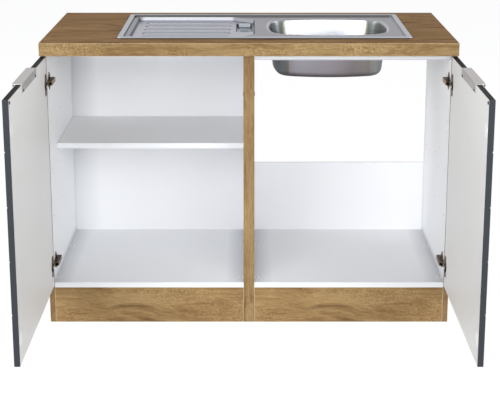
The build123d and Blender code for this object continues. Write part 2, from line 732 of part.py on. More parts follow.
def ridge(y):
    """One long ridge of the drainer, a flat arch with rounded ends."""
    x0 = PAN_LEFT + PAN_RUN + RIDGE_LEFT_GAP
    x1 = PAN_RIGHT - PAN_BACK_CUT[0] - RIDGE_RIGHT_GAP
    with BuildPart() as piece:
        with BuildSketch(Plane.XY.offset(PAN_FLOOR - SHEET / 2)):
            with Locations(((x0 + x1) / 2, y)):
                SlotOverall(x1 - x0, RIDGE_WIDTH)
        extrude(amount=RIDGE_HEIGHT + SHEET / 2)
        top = piece.faces().sort_by(Axis.Z)[-1].edges()
        chamfer(top, length=RIDGE_HEIGHT - RIDGE_EDGE, length2=(RIDGE_WIDTH - RIDGE_CREST) / 2)
    return piece.part


def bowl_form(sheet):
    """The inside of the bowl, or its outside when a sheet thickness is given."""
    with BuildPart() as form:
        with BuildSketch(Plane.XY.offset(BOWL_FLOOR - sheet)):
            add(bowl_outline(sheet - BOWL_DEPTH * math.tan(math.radians(BOWL_DRAFT_ANGLE))))
        with BuildSketch(Plane.XY.offset(TOP)):
            add(bowl_outline(sheet))
        loft(ruled=True)
        fillet(form.faces().sort_by(Axis.Z)[0].edges(), radius=BOWL_FLOOR_ROUND + sheet)
        with BuildSketch(Plane.XY.offset(BOWL_FLOOR - sheet)):
            with Locations((BOWL_X, BOWL_Y)):
                Circle(WASTE_SEAT_RADIUS + sheet)
        extrude(amount=-WASTE_SEAT_DEPTH)
    return form.part


def sink_bowl():
    """The drawn bowl with the flared lip that meets the deck, and a sunken waste seat."""
    with BuildPart() as bowl:
        add(bowl_form(SHEET))
        with BuildSketch(Plane.XY.offset(TOP - SHEET)):
            add(bowl_outline(BOWL_LIP))
        extrude(amount=SHEET)
        corner = bowl.faces().filter_by(Axis.Z).group_by(Axis.Z)[-2].sort_by(SortBy.AREA)[-1]
        fillet(corner.inner_wires()[0].edges(), radius=BOWL_LIP_ROUND - SHEET)
        add(bowl_form(0), mode=Mode.SUBTRACT)
        mouth = bowl.faces().filter_by(Axis.Z).group_by(Axis.Z)[-1].sort_by(SortBy.AREA)[-1]
        fillet(mouth.inner_wires()[0].edges(), radius=BOWL_LIP_ROUND)
        with BuildSketch(Plane.XY.offset(BOWL_FLOOR)):
            with Locations((BOWL_X, BOWL_Y)):
                Circle(WASTE_HOLE_RADIUS)
        extrude(amount=-2 * WASTE_SEAT_DEPTH, mode=Mode.SUBTRACT)
    return bowl.part


def sink_seal():
    """The foam strip under the rim, all round."""
    outer = SHEET + SEAT
    with BuildPart() as seal:
        with BuildSketch(Plane.XY.offset(TOP)):
            add(sink_outline(outer, SINK_CORNER - outer))
            add(sink_outline(outer + SEAL_WIDTH, SINK_CORNER - outer - SEAL_WIDTH), mode=Mode.SUBTRACT)
        extrude(amount=RIM_HEIGHT - SHEET)
    return seal.part


def sink_clip(place, outward):
    """A clamp: a tab under the deck, a strap down past the worktop and a claw that grips it."""
    tab_z = TOP - SHEET
    foot_z = CARCASS_HEIGHT - CLIP_FOOT_DROP
    with BuildPart() as clip:
        with BuildSketch(Plane.XZ.offset(-CLIP_WIDTH / 2)) as profile:
            with BuildLine():
                Polyline((-CLIP_TAB, tab_z), (0, tab_z), (0, foot_z + CLIP_SHEET),
                         (CLIP_REACH - CLIP_SHEET, foot_z + CLIP_SHEET),
                         (CLIP_REACH - CLIP_SHEET, CARCASS_HEIGHT), (CLIP_REACH, CARCASS_HEIGHT),
                         (CLIP_REACH, foot_z), (-CLIP_SHEET, foot_z), (-CLIP_SHEET, tab_z - CLIP_SHEET),
                         (-CLIP_TAB, tab_z - CLIP_SHEET), close=True)
            make_face()
        extrude(amount=CLIP_WIDTH)
    turned = clip.part.rotate(Axis.Z, outward)
    x, y = place
    return turned.moved(Location((x, y, 0)))


def sink_clips():
    """Clamps at both ends, between the rails, and along the front of the left bay, ahead of its rail."""
    behind_rail = FRONT + LEFT_RAIL_SETBACK + RAIL_WIDTH + CLIP_RAIL_GAP + CLIP_WIDTH / 2
    rows = (behind_rail, REAR - BOARD - CLIP_REAR_GAP)
    clips = [sink_clip((DECK_LEFT, y), 180) for y in rows]
    clips += [sink_clip((DECK_RIGHT, y), 0) for y in rows]
    fronts = (DECK_LEFT + CLIP_END_GAP, -BAY_INNER - CLIP_SIDE_GAP)
    clips += [sink_clip((x, DECK_FRONT), -90) for x in fronts]
    return group(clips)


# ---- doors ------------------------------------------------------------------------------------------
# Drawn for the right-hand door, standing open: its inner face looks to -X, its hinge edge to +Y.

def door_panel(side):
    """A door: plain inside with bores for the cups and caps, milled lines across its outer face."""
    with BuildPart() as panel:
        add(plate((DOOR_INNER, DOOR_OUTER), (DOOR_FREE_EDGE, DOOR_HINGE_EDGE), (DOOR_BOTTOM, DOOR_TOP),
                  DOOR_EASE))
        for i in range(GROOVE_COUNT):
            z = DOOR_TOP - GROOVE_FROM_TOP - i * GROOVE_PITCH
            add(plate((DOOR_OUTER - GROOVE_DEPTH, DOOR_OUTER), (DOOR_FREE_EDGE, DOOR_HINGE_EDGE),
                      (z - GROOVE_WIDTH / 2, z + GROOVE_WIDTH / 2)), mode=Mode.SUBTRACT)
        with BuildSketch(Plane.YZ.offset(DOOR_INNER)):
            with Locations(*[(y, z) for y in (CUP_Y, CAP_Y) for z in HINGE_HEIGHTS]):
                Circle(CUP_RADIUS + SLIP)
        extrude(amount=CUP_DEPTH + SLIP, mode=Mode.SUBTRACT)
        with BuildSketch(Plane.YZ.offset(DOOR_INNER)):
            with Locations(*cup_screw_places(), *handle_screw_places()):
                Circle(SCREW_RADIUS + SLIP)
        extrude(amount=SCREW_LENGTH + SLIP, mode=Mode.SUBTRACT)
    return mirrored(panel.part, side)


def handle_screw_places():
    """The two screws through the inner flange of a handle, as (y, z), below the closed bay's rail."""
    reach = HANDLE_LENGTH / 2 - HANDLE_SCREW_INSET
    return [(DOOR_MIDDLE + end * reach, HANDLE_SCREW_Z) for end in (-1, 1)]


def handle(side):
    """A folded strip: flange on the inner face, flat top, and a lip that stands off the outer face."""
    flange = DOOR_INNER - HANDLE_SHEET
    lip = DOOR_OUTER + HANDLE_PROUD
    top = DOOR_TOP + HANDLE_SHEET
    with BuildPart() as strip:
        with BuildSketch(Plane.XZ.offset(-(DOOR_MIDDLE - HANDLE_LENGTH / 2))):
            with BuildLine():
                Polyline((flange, DOOR_TOP - HANDLE_FLANGE), (flange, top), (lip, top),
                         (lip, top - HANDLE_LIP), (lip - HANDLE_SHEET, top - HANDLE_LIP),
                         (lip - HANDLE_SHEET, DOOR_TOP), (DOOR_INNER, DOOR_TOP),
                         (DOOR_INNER, DOOR_TOP - HANDLE_FLANGE), close=True)
            make_face()
        extrude(amount=-HANDLE_LENGTH)
        folds = strip.edges().filter_by(Axis.Y).group_by(Axis.Z)[-1]
        fillet(folds, radius=HANDLE_BEND)
        with BuildSketch(Plane.YZ.offset(flange)):
            with Locations(*handle_screw_places()):
                Circle(SCREW_RADIUS + SLIP)
        extrude(amount=HANDLE_SHEET, mode=Mode.SUBTRACT)
    return mirrored(strip.part, side)


def cover_cap(side, z):
    """The white cap over an unused hinge bore, with a plug that holds it."""
    with BuildPart() as cap:
        with BuildSketch(Plane.YZ.offset(DOOR_INNER)):
            with Locations((CAP_Y, z)):
                Circle(CAP_RADIUS)
        extrude(amount=-CAP_THICKNESS)
        fillet(cap.faces().sort_by(Axis.X)[0].edges(), radius=CAP_THICKNESS / 2)
        with BuildSketch(Plane.YZ.offset(DOOR_INNER)):
            with Locations((CAP_Y, z)):
                Circle(CUP_RADIUS)
                Circle(CUP_RADIUS - CUP_WALL, mode=Mode.SUBTRACT)
        extrude(amount=CAP_PLUG_DEPTH)
    return mirrored(cap.part, side)


def bumper(side):
    """The soft dot that the door closes on, at its upper free corner."""
    with BuildPart() as dot:
        with BuildSketch(Plane.YZ.offset(DOOR_INNER)):
            with Locations((DOOR_FREE_EDGE + BUMPER_INSET, DOOR_TOP - BUMPER_INSET)):
                Circle(BUMPER_RADIUS)
        extrude(amount=-BUMPER_THICKNESS)
        fillet(dot.faces().sort_by(Axis.X)[0].edges(), radius=BUMPER_THICKNESS / 2)
    return mirrored(dot.part, side)


# ---- concealed hinges -------------------------------------------------------------------------------
# Plan sketches are drawn about the pivot of the right-hand door: u runs towards the middle of the
# unit, v to the back. A door-borne piece is drawn with the door closed and turned open.

def hinge_plane(z):
    """A sketch plane about the pivot at height z, with u to the middle and v to the back."""
    return Plane(origin=(PIVOT_X, PIVOT_Y, z), x_dir=(-1, 0, 0), z_dir=(0, 0, -1))


def opened(piece):
    """A piece drawn on the closed right-hand door, turned to where the open door carries it."""
    return piece.rotate(Axis((PIVOT_X, PIVOT_Y, 0), (0, 0, 1)), 90)


def cup_screw_places():
    """The two screws of each cup flange, as (y, z)."""
    line = CUP_Y - FLANGE_HOLE_SHIFT
    return [(line, z + end * FLANGE_HOLE_PITCH / 2) for z in HINGE_HEIGHTS for end in (-1, 1)]


def plate_screw_places():
    """The two screws of each mounting plate, as (y, z)."""
    line = FRONT + PLATE_LINE
    return [(line, z + end * PLATE_SCREW_PITCH / 2) for z in HINGE_HEIGHTS for end in (-1, 1)]


def hinge_cup(side, z):
    """The pressed cup let into the door, with its flange on the door's inner face."""
    screws = [place for place in cup_screw_places() if abs(place[1] - z) < FLANGE_HEIGHT]
    with BuildPart() as cup:
        with BuildSketch(Plane.YZ.offset(DOOR_INNER)):
            with Locations((CUP_Y, z)):
                SlotOverall(FLANGE_HEIGHT, FLANGE_WIDTH, rotation=90)
            with Locations(*screws):
                Circle(SCREW_RADIUS + SLIP, mode=Mode.SUBTRACT)
        extrude(amount=-FLANGE_THICKNESS)
        with BuildSketch(Plane.YZ.offset(DOOR_INNER)):
            with Locations((CUP_Y, z)):
                Circle(CUP_RADIUS)
        extrude(amount=CUP_DEPTH)
        with BuildSketch(Plane.YZ.offset(DOOR_INNER - FLANGE_THICKNESS)):
            with Locations((CUP_Y, z)):
                Circle(CUP_RADIUS - CUP_WALL)
        extrude(amount=CUP_DEPTH + FLANGE_THICKNESS - CUP_WALL, mode=Mode.SUBTRACT)
    return mirrored(cup.part, side)


def hinge_link(side, z):
    """The curved link that swings with the door: an arc about the pivot with its pin across the cup."""
    inner, outer = LINK_RADIUS - LINK_THICKNESS / 2, LINK_RADIUS + LINK_THICKNESS / 2
    pin_u, pin_v = LINK_RADIUS, 0
    with BuildPart() as link:
        with BuildSketch(hinge_plane(z + LINK_WIDTH / 2)):
            with BuildLine():
                CenterArc((0, 0), outer, LINK_START_ANGLE, LINK_END_ANGLE - LINK_START_ANGLE)
                CenterArc((0, 0), inner, LINK_START_ANGLE, LINK_END_ANGLE - LINK_START_ANGLE)
                Line(on_circle(outer, LINK_START_ANGLE), on_circle(inner, LINK_START_ANGLE))
                Line(on_circle(outer, LINK_END_ANGLE), on_circle(inner, LINK_END_ANGLE))
            make_face()
        extrude(amount=LINK_WIDTH)
        reach = link_pin_reach()
        with BuildSketch(hinge_plane(z + reach)):
            with Locations((pin_u, pin_v)):
                Circle(LINK_PIN_RADIUS)
        extrude(amount=2 * reach)
    return mirrored(opened(link.part), side)


def on_circle(radius, degrees):
    """A point about the pivot, at a radius and an angle."""
    angle = math.radians(degrees)
    return radius * math.cos(angle), radius * math.sin(angle)


def link_pin_reach():
    """Half the length of the link's pin, which spans the inside of the cup."""
    from_centre = CUP_INSET - PIVOT_INSET - LINK_RADIUS
    return math.sqrt((CUP_RADIUS - CUP_WALL) ** 2 - (abs(from_centre) + LINK_PIN_RADIUS) ** 2) - SLIP


def hinge_arm(side, z):
    """The folded arm: a channel over the mounting plate whose cheeks curl forward into the cup."""
    wall = PIVOT_X - BAY_OUTER
    top = wall + ARM_HEIGHT
    foot = wall + PLATE_THICKNESS + SEAT
    front = -(PIVOT_Y - FRONT)
    half = ARM_WIDTH / 2
    with BuildPart() as arm:
        with BuildSketch(hinge_plane(z + half)):
            with BuildLine():
                Polyline((foot, front + PLATE_THICKNESS), (NECK_TIP, NECK_SETBACK + NECK_HEIGHT),
                         (NECK_TIP, NECK_SETBACK), (NECK_TIP + NECK_WIDTH, NECK_SETBACK),
                         (top - ARM_BEND, ARM_SHOULDER), (top, front),
                         (top, ARM_BACK), (foot, ARM_BACK), close=True)
            make_face()
        extrude(amount=ARM_WIDTH)
        with BuildSketch(hinge_plane(z + half - ARM_SHEET)):
            with Locations(((top - ARM_SHEET) / 2, ARM_BACK / 2)):
                Rectangle(top - ARM_SHEET, ARM_BACK)
        extrude(amount=ARM_WIDTH - 2 * ARM_SHEET, mode=Mode.SUBTRACT)
        with BuildSketch(hinge_plane(z + half)):
            with Locations((NECK_TIP + NECK_WIDTH / 2, NECK_SETBACK + NECK_WIDTH / 2)):
                Circle(ARM_PIN_RADIUS)
        extrude(amount=ARM_WIDTH)
    return mirrored(arm.part, side)


def hinge_plate(side, z):
    """The winged mounting plate on the side, and the block that the arm is clipped over."""
    line = FRONT + PLATE_LINE
    half_wing = PLATE_WING / 2
    body_front = FRONT + PLATE_FRONT
    body_back = PIVOT_Y + ARM_BACK - PLATE_TAIL
    with BuildPart() as mount:
        with BuildSketch(Plane.YZ.offset(BAY_OUTER)):
            with Locations(((body_front + body_back) / 2, z)):
                RectangleRounded(body_back - body_front, PLATE_BODY_WIDTH, PLATE_BODY_CORNER)
            with BuildLine():
                Polyline((body_front + PLATE_NOSE, z),
                         (line - WING_TIP, z + half_wing - WING_TIP), (line, z + half_wing),
                         (line + WING_TIP, z + half_wing - WING_TIP), (line + PLATE_BODY_WIDTH, z),
                         (line + WING_TIP, z - half_wing + WING_TIP), (line, z - half_wing),
                         (line - WING_TIP, z - half_wing + WING_TIP), close=True)
            make_face()
        extrude(amount=-PLATE_THICKNESS)
        inner_width = ARM_WIDTH - 2 * ARM_SHEET - 2 * SEAT
        block_back = body_back - PLATE_THICKNESS
        add(plate((BAY_OUTER - PLATE_THICKNESS, BAY_OUTER - ARM_HEIGHT + ARM_SHEET),
                  (line - PLATE_THICKNESS, block_back), (z - inner_width / 2, z + inner_width / 2)))
        with BuildSketch(Plane.YZ.offset(BAY_OUTER)):
            with Locations(*[p for p in plate_screw_places() if abs(p[1] - z) < PLATE_WING]):
                Circle(SCREW_RADIUS + SLIP)
        extrude(amount=-PLATE_THICKNESS, mode=Mode.SUBTRACT)
    return mirrored(mount.part, side)


# ---- the whole unit ---------------------------------------------------------------------------------

def build_carcass():
    for side in (LEFT, RIGHT):
        name = SIDE_NAME[side]
        save(side_panel(side, outer=True), f"side_{name}_outer")
        save(side_panel(side, outer=False), f"side_{name}_inner")
        save(edge_band(side, outer=True), f"edge_band_{name}_outer")
        save(edge_band(side, outer=False), f"edge_band_{name}_inner")
        save(floor_panel(side), f"floor_panel_{name}")
        save(plate(bay_limits(side), (FRONT, FRONT + BOARD), (0, PLINTH_HEIGHT)), f"plinth_{name}")
        save(rear_rail(side), f"rear_rail_{name}")
    save(top_rail(LEFT, FRONT + LEFT_RAIL_SETBACK), "top_rail_left")
    save(top_rail(RIGHT, FRONT), "top_rail_right")
    save(back_board(LEFT), "back_board_left")
    save(back_board(RIGHT), "half_back_board_right")
    save(shelf(), "shelf")


def build_fixings():
    save(group(shelf_pin(face, into, row) for face, into in ((-BAY_OUTER, 1), (-BAY_INNER, -1))
               for row in SHELF_PIN_ROWS), "shelf_pins")
    rows = [FRONT + row for row in CONNECTOR_ROWS]
    save(group(connector_housing(x, d, y) for x, d in floor_ends() for y in rows), "connector_housings")
    save(group(connector_stud(x, d, y) for x, d in floor_ends() for y in rows), "connector_studs")
    save(group(joining_bolt(y, z) for y, z in joining_bolt_places()), "joining_bolts")
    save(group(nail(x, z) for side in (LEFT, RIGHT) for x, z in nail_places(side)), "back_nails")
    save(group(bracket(x) for x in bracket_places()), "worktop_brackets")
    reach = CARCASS_HEIGHT + WORKTOP_SCREW_REACH - SEAT
    save(group(screw(x, y, z, (0, 0, 1), reach - z) for x, y, z in worktop_screw_places()), "worktop_screws")


def build_top():
    save(worktop(), "worktop")
    save(sink_deck(), "sink_deck")
    save(sink_bowl(), "sink_bowl")
    save(sink_seal(), "sink_seal")
    save(sink_clips(), "sink_clips")


def side_screws(side, face, places):
    """A set of screws driven outwards from one face, on the side asked for."""
    return group(screw(side * face, y, z, (side, 0, 0), SCREW_LENGTH) for y, z in places)


def build_door(side):
    name = SIDE_NAME[side]
    save(door_panel(side), f"door_{name}")
    save(handle(side), f"handle_{name}")
    save(side_screws(side, DOOR_INNER - HANDLE_SHEET, handle_screw_places()), f"handle_screws_{name}")
    save(group(cover_cap(side, z) for z in HINGE_HEIGHTS), f"bore_caps_{name}")
    save(bumper(side), f"bumper_{name}")
    save(group(hinge_cup(side, z) for z in HINGE_HEIGHTS), f"hinge_cups_{name}")
    save(group(hinge_link(side, z) for z in HINGE_HEIGHTS), f"hinge_links_{name}")
    save(side_screws(side, DOOR_INNER - FLANGE_THICKNESS, cup_screw_places()), f"cup_screws_{name}")
    save(group(hinge_arm(side, z) for z in HINGE_HEIGHTS), f"hinge_arms_{name}")
    save(group(hinge_plate(side, z) for z in HINGE_HEIGHTS), f"hinge_plates_{name}")
    save(side_screws(side, BAY_OUTER - PLATE_THICKNESS, plate_screw_places()), f"plate_screws_{name}")


build_carcass()
build_fixings()
build_top()
build_door(LEFT)
build_door(RIGHT)
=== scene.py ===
# %% [markdown]
# # A kitchen sink unit, dressed for the camera
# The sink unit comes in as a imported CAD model: two base cabinets with open doors, one oak-look worktop
# and an inset steel sink. Its sizes and places are fixed, so this file adds what a CAD model leaves out:
# the finishes, finer screws, the light and the camera.
# Everything is in metres. X runs to the right, +Y to the back and Z up from the floor.

# %% Load the unit as a fixed frame
import math

import bmesh
import bpy
import numpy as np
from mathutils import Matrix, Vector


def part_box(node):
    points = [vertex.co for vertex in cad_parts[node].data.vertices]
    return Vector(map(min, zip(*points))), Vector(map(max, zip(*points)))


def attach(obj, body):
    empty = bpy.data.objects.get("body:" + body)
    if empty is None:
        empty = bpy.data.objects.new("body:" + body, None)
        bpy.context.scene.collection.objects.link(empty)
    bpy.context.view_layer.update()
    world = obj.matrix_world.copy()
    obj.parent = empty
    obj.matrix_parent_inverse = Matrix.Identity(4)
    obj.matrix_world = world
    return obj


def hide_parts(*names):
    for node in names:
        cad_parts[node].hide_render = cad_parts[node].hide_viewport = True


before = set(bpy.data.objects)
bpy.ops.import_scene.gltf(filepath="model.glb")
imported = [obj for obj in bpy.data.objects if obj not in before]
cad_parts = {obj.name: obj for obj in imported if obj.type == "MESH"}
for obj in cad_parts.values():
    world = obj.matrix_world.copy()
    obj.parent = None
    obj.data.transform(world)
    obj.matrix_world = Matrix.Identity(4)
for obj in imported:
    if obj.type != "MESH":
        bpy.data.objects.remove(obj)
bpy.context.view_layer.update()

# %% [markdown]
# Colours are picked in a photo editor as numbers from 0 to 255, but a shader counts light in straight
# proportion. This helper turns one into the other, so that a colour can be written the way it is read.


# %% Colours as a photo editor names them
def rgb(red, green, blue):
    """A colour from 0 to 255 a channel, as the linear numbers that shaders use."""
    def linear(value):
        value = value / 255
        return value / 12.92 if value <= 0.04045 else ((value + 0.055) / 1.055) ** 2.4
    return (linear(red), linear(green), linear(blue), 1.0)


plain_white = (1.0, 1.0, 1.0, 1.0)
melamine_white = rgb(247, 248, 250)
foil_white = rgb(246, 247, 250)
print("melamine white", [round(v, 3) for v in melamine_white])

# %% [markdown]
# The photograph was taken from the front with a shifted lens: it looks straight ahead, and the picture
# was slid down to the unit. A camera with so much shift would slide the unit out of every other view, so
# this one stands on the same line of sight, looks down a little, and keeps only a small shift.

# %% Camera
look_down = 13.9
camera_data = bpy.data.cameras.new("camera")
camera_data.sensor_width = 36
camera_data.lens = 93.6
camera_data.shift_y = -0.12
camera = bpy.data.objects.new("camera", camera_data)
camera.location = (0.003, -3.95, 1.48)
camera.rotation_euler = (math.radians(90 - look_down), 0, 0)
bpy.context.scene.collection.objects.link(camera)
bpy.context.scene.camera = camera
bpy.context.scene.view_settings.view_transform = "Standard"
print("camera looks down", look_down, "degrees through a", camera_data.lens, "mm lens")

# %% [markdown]
# Trees of nodes get long when every node takes five lines. These helpers add a node, set its own
# settings, and fill its sockets: a number or a colour is set on the socket, and another node's output is
# wired to it. Sums that come back often have a helper each.


# %% Helpers that add nodes and sums
def add(tree, kind, sockets=None, **settings):
    """Adds one node. An output given for a socket is wired to it, anything else is its value."""
    node = tree.nodes.new(kind)
    for name, value in settings.items():
        setattr(node, name, value)
    for name, value in (sockets or {}).items():
        if isinstance(value, bpy.types.NodeSocket):
            tree.links.new(value, node.inputs[name])
        else:
            node.inputs[name].default_value = value
    return node


def maths(tree, operation, first, second=0.0):
    """One sum on two numbers or outputs."""
    return add(tree, "ShaderNodeMath", {0: first, 1: second}, operation=operation).outputs[0]


def plus(tree, first, *others):
    """Numbers or outputs, added up."""
    for other in others:
        first = maths(tree, "ADD", first, other)
    return first


def times(tree, first, *others):
    """Numbers or outputs, multiplied with each other."""
    for other in others:
        first = maths(tree, "MULTIPLY", first, other)
    return first


def apart(tree, first, second):
    """How far two numbers or outputs are from each other."""
    return maths(tree, "ABSOLUTE", maths(tree, "SUBTRACT", first, second))


def between(tree, value, low, high, start=0.0, end=1.0):
    """Spreads the values from low to high over start to end, and stops at both."""
    settings = {"Value": value, "From Min": low, "From Max": high, "To Min": start, "To Max": end}
    return add(tree, "ShaderNodeMapRange", settings).outputs["Result"]


print("helpers for nodes and sums ready")

# %% [markdown]
# A pattern hangs on a place, which is three numbers. Stretched, turned or split into its axes, the same
# place gives lines, slants or bands, and soft noise on it gives everything that looks grown or worn.


# %% Helpers for places, patterns and colours
def axes(tree, vector):
    """The X, Y and Z part of a place or a direction."""
    return add(tree, "ShaderNodeSeparateXYZ", {0: vector}).outputs


def stretch(tree, place, x, y, z):
    """The same place, counted in finer or coarser steps along each axis."""
    return add(tree, "ShaderNodeVectorMath", {0: place, 1: (x, y, z)}, operation="MULTIPLY").outputs[0]


def turn_pattern(tree, place, turn, shift=(0, 0, 0)):
    """The same place, turned by degrees about each axis and then shifted."""
    settings = {"Vector": place, "Location": shift, "Rotation": [math.radians(v) for v in turn]}
    return add(tree, "ShaderNodeMapping", settings).outputs[0]


def cloud(tree, place, scale=1.0, detail=2.0, roughness=0.5):
    """Soft random values from 0 to 1."""
    settings = {"Vector": place, "Scale": scale, "Detail": detail, "Roughness": roughness}
    return add(tree, "ShaderNodeTexNoise", settings).outputs["Fac"]


def blend_colours(tree, amount, first, second, way="MIX"):
    """Two colours laid over each other by an amount."""
    sockets = {0: amount, 6: first, 7: second}
    return add(tree, "ShaderNodeMix", sockets, data_type="RGBA", blend_type=way).outputs[2]


def darkened(tree, colour, shade):
    """A colour multiplied with a grey."""
    return blend_colours(tree, 1.0, colour, shade, "MULTIPLY")


def as_grey(tree, value):
    """A grey as bright as a value."""
    return add(tree, "ShaderNodeCombineColor", {0: value, 1: value, 2: value}).outputs[0]


print("helpers for patterns ready")

# %% [markdown]
# An effect that more than one finish needs is built once, as a group with named sockets, and each
# finish fills those with its own values. This helper makes the empty group.


# %% Helper for shared effects
def shader_group(name, inputs, outputs):
    """An empty group with named sockets: the tree, what comes in and where results go."""
    tree = bpy.data.node_groups.new(name, "ShaderNodeTree")
    for title, value in inputs.items():
        kind = "NodeSocketFloat" if isinstance(value, float) else "NodeSocketColor"
        kind = "NodeSocketVector" if value is None else kind
        socket = tree.interface.new_socket(title, in_out="INPUT", socket_type=kind)
        if value is not None:
            socket.default_value = value
    for title, kind in outputs.items():
        tree.interface.new_socket(title, in_out="OUTPUT", socket_type="NodeSocket" + kind)
    return tree, tree.nodes.new("NodeGroupInput").outputs, tree.nodes.new("NodeGroupOutput").inputs


skin_outputs = {"Color": "Color", "Roughness": "Float", "Height": "Float"}
print("a skin puts out", list(skin_outputs))

# %% [markdown]
# The decor on the worktop, the plinths, the outer sides and the front edges is a printed golden oak. Real
# oak shows five things at once: broad lighter and darker fields, growth lines that wander and open into
# flames, long fibres, short dark pores, and silvery flecks that cross the grain at a slant where the saw
# met the rays. Each is a noise stretched its own way, and the group mixes them. One group serves every
# oak piece, with its own colours each time. A knot can be set into it: the grain arches over it, and its
# heart is dark.

# %% Shared effect: oak grain, first the way it wanders
grain_inputs = {"Vector": None, "Dark": rgb(104, 70, 40), "Brown": rgb(140, 108, 68),
                "Light": rgb(184, 156, 112), "Streaks": 1.0, "Flecks": 1.0, "Knot": 0.0}
oak, given, result = shader_group("oak grain", grain_inputs, skin_outputs)
oak_place = given["Vector"]
knot_reach, knot_rise, most_drift = 0.085, 0.016, 0.022
knot_x, _, knot_z = axes(oak, oak_place)
share = maths(oak, "DIVIDE", knot_x, knot_reach)
arch = maths(oak, "MAXIMUM", maths(oak, "SUBTRACT", 1.0, times(oak, share, share)), 0.0)
arch_height = times(oak, arch, knot_rise, given["Knot"])
near_knot = between(oak, maths(oak, "ABSOLUTE", knot_z), 0.02, 0.07, 1.0, 0.0)
lifted = times(oak, arch_height, near_knot)
drift = cloud(oak, stretch(oak, oak_place, 3.1, 9, 9))
drift = between(oak, drift, 0.3, 0.7, -most_drift, most_drift)
upwards = maths(oak, "SUBTRACT", drift, lifted)
sideways = add(oak, "ShaderNodeCombineXYZ", {1: drift, 2: upwards}).outputs[0]
wandering = add(oak, "ShaderNodeVectorMath", {0: oak_place, 1: sideways}).outputs[0]
print("the grain wanders by up to", most_drift, "m")

# %% [markdown]
# The smaller the three numbers of a stretch, the broader the pattern. The first one runs along the
# grain, so it is always the smallest. The rings are a sine over a very broad noise.

# %% Oak grain: fields, growth lines, fibres, pores and streaks
fields = cloud(oak, stretch(oak, wandering, 4.0, 13, 13), detail=3.0)
rings = cloud(oak, stretch(oak, wandering, 2.0, 15, 15), detail=1.0)
rings = maths(oak, "SINE", times(oak, rings, 70.0))
growth = cloud(oak, stretch(oak, wandering, 6, 150, 150), detail=3.0, roughness=0.6)
fibres = cloud(oak, stretch(oak, wandering, 30, 420, 420))
pores = cloud(oak, stretch(oak, wandering, 110, 900, 900), detail=1.0)
streaks = cloud(oak, stretch(oak, wandering, 3.4, 34, 34), detail=4.0, roughness=0.6)
print("oak patterns so far:", len([n for n in oak.nodes if n.type == "TEX_NOISE"]))

# %% [markdown]
# The flecks lean one way in some parts of a board and the other way in others, and come in patches. So
# two slanted noises are mixed by a broad one, and another broad one fades them out between the patches.


# %% Oak grain: flecks across the grain
def slanted_flecks(slant):
    """Short marks, turned out of the grain by some degrees."""
    across_grain = turn_pattern(oak, oak_place, (0, slant, 0))
    return cloud(oak, stretch(oak, across_grain, 130, 220, 330), roughness=0.6)


patches = cloud(oak, stretch(oak, oak_place, 6, 10, 10), detail=1.0)
leaning = cloud(oak, stretch(oak, oak_place, 4.3, 8, 8), detail=0.0)
both_ways = {0: between(oak, leaning, 0.44, 0.56), 2: slanted_flecks(34), 3: slanted_flecks(-40)}
flecks = add(oak, "ShaderNodeMix", both_ways, data_type="FLOAT").outputs[0]
flecks = times(oak, between(oak, flecks, 0.34, 0.66, -0.42, 0.42), given["Flecks"],
               between(oak, patches, 0.48, 0.60, 0.08, 1.0))
print("oak patterns:", len([n for n in oak.nodes if n.type == "TEX_NOISE"]))

# %% [markdown]
# The patterns add up to one tone, which picks a colour between brown and light. The dark streaks, the
# flame around the knot and the pores are then laid over it as shares of the dark colour.

# %% Oak grain: the patterns laid over each other
tone = plus(oak, between(oak, fields, 0.30, 0.70, 0.16, 0.84), between(oak, rings, -1, 1, -0.06, 0.06),
            between(oak, growth, 0.3, 0.7, -0.27, 0.27),
            between(oak, fibres, 0.3, 0.7, -0.24, 0.24), flecks)
body = blend_colours(oak, tone, given["Brown"], given["Light"])
flame = between(oak, apart(oak, knot_z, arch_height), 0.001, 0.011, 1.0, 0.0)
flame = times(oak, flame, arch, given["Knot"], between(oak, growth, 0.36, 0.62, 0.25, 1.0))
dark_share = times(oak, between(oak, streaks, 0.56, 0.74, 0.0, 0.62), given["Streaks"])
dark_share = maths(oak, "MAXIMUM", dark_share, times(oak, flame, 0.95))
body = blend_colours(oak, dark_share, body, given["Dark"])
pore_share = between(oak, pores, 0.60, 0.70, 0.0, 0.35)
oak.links.new(blend_colours(oak, pore_share, body, given["Dark"]), result["Color"])
oak.links.new(between(oak, fibres, 0.3, 0.7, 0.48, 0.62), result["Roughness"])
oak.links.new(maths(oak, "SUBTRACT", fibres, pore_share), result["Height"])
print("oak grain:", len(oak.nodes), "nodes")

# %% [markdown]
# Rolled steel is brushed: thousands of fine scratches run one way and stretch every highlight across
# them. Long thin noise gives the scratches, and a broad soft cloud adds the faint wiped patches that
# every used sink shows.

# %% Shared effect: brushed lines
brushed, given, result = shader_group("brushed lines", {"Vector": None, "Smooth": 0.22, "Rough": 0.38},
                                      {"Shade": "Color", "Roughness": "Float", "Height": "Float"})
fine = cloud(brushed, stretch(brushed, given["Vector"], 9, 1400, 1400))
coarse = cloud(brushed, stretch(brushed, given["Vector"], 3, 420, 420))
wiped = cloud(brushed, given["Vector"], scale=7.0)
lines = plus(brushed, times(brushed, fine, 0.55), times(brushed, coarse, 0.45))
rough = plus(brushed, times(brushed, lines, 0.6), times(brushed, wiped, 0.4))
rough = times(brushed, rough, maths(brushed, "SUBTRACT", given["Rough"], given["Smooth"]))
brushed.links.new(as_grey(brushed, between(brushed, lines, 0.3, 0.7, 0.90, 1.0)), result["Shade"])
brushed.links.new(plus(brushed, rough, given["Smooth"]), result["Roughness"])
brushed.links.new(lines, result["Height"])
print("brushed lines:", len(brushed.nodes), "nodes")

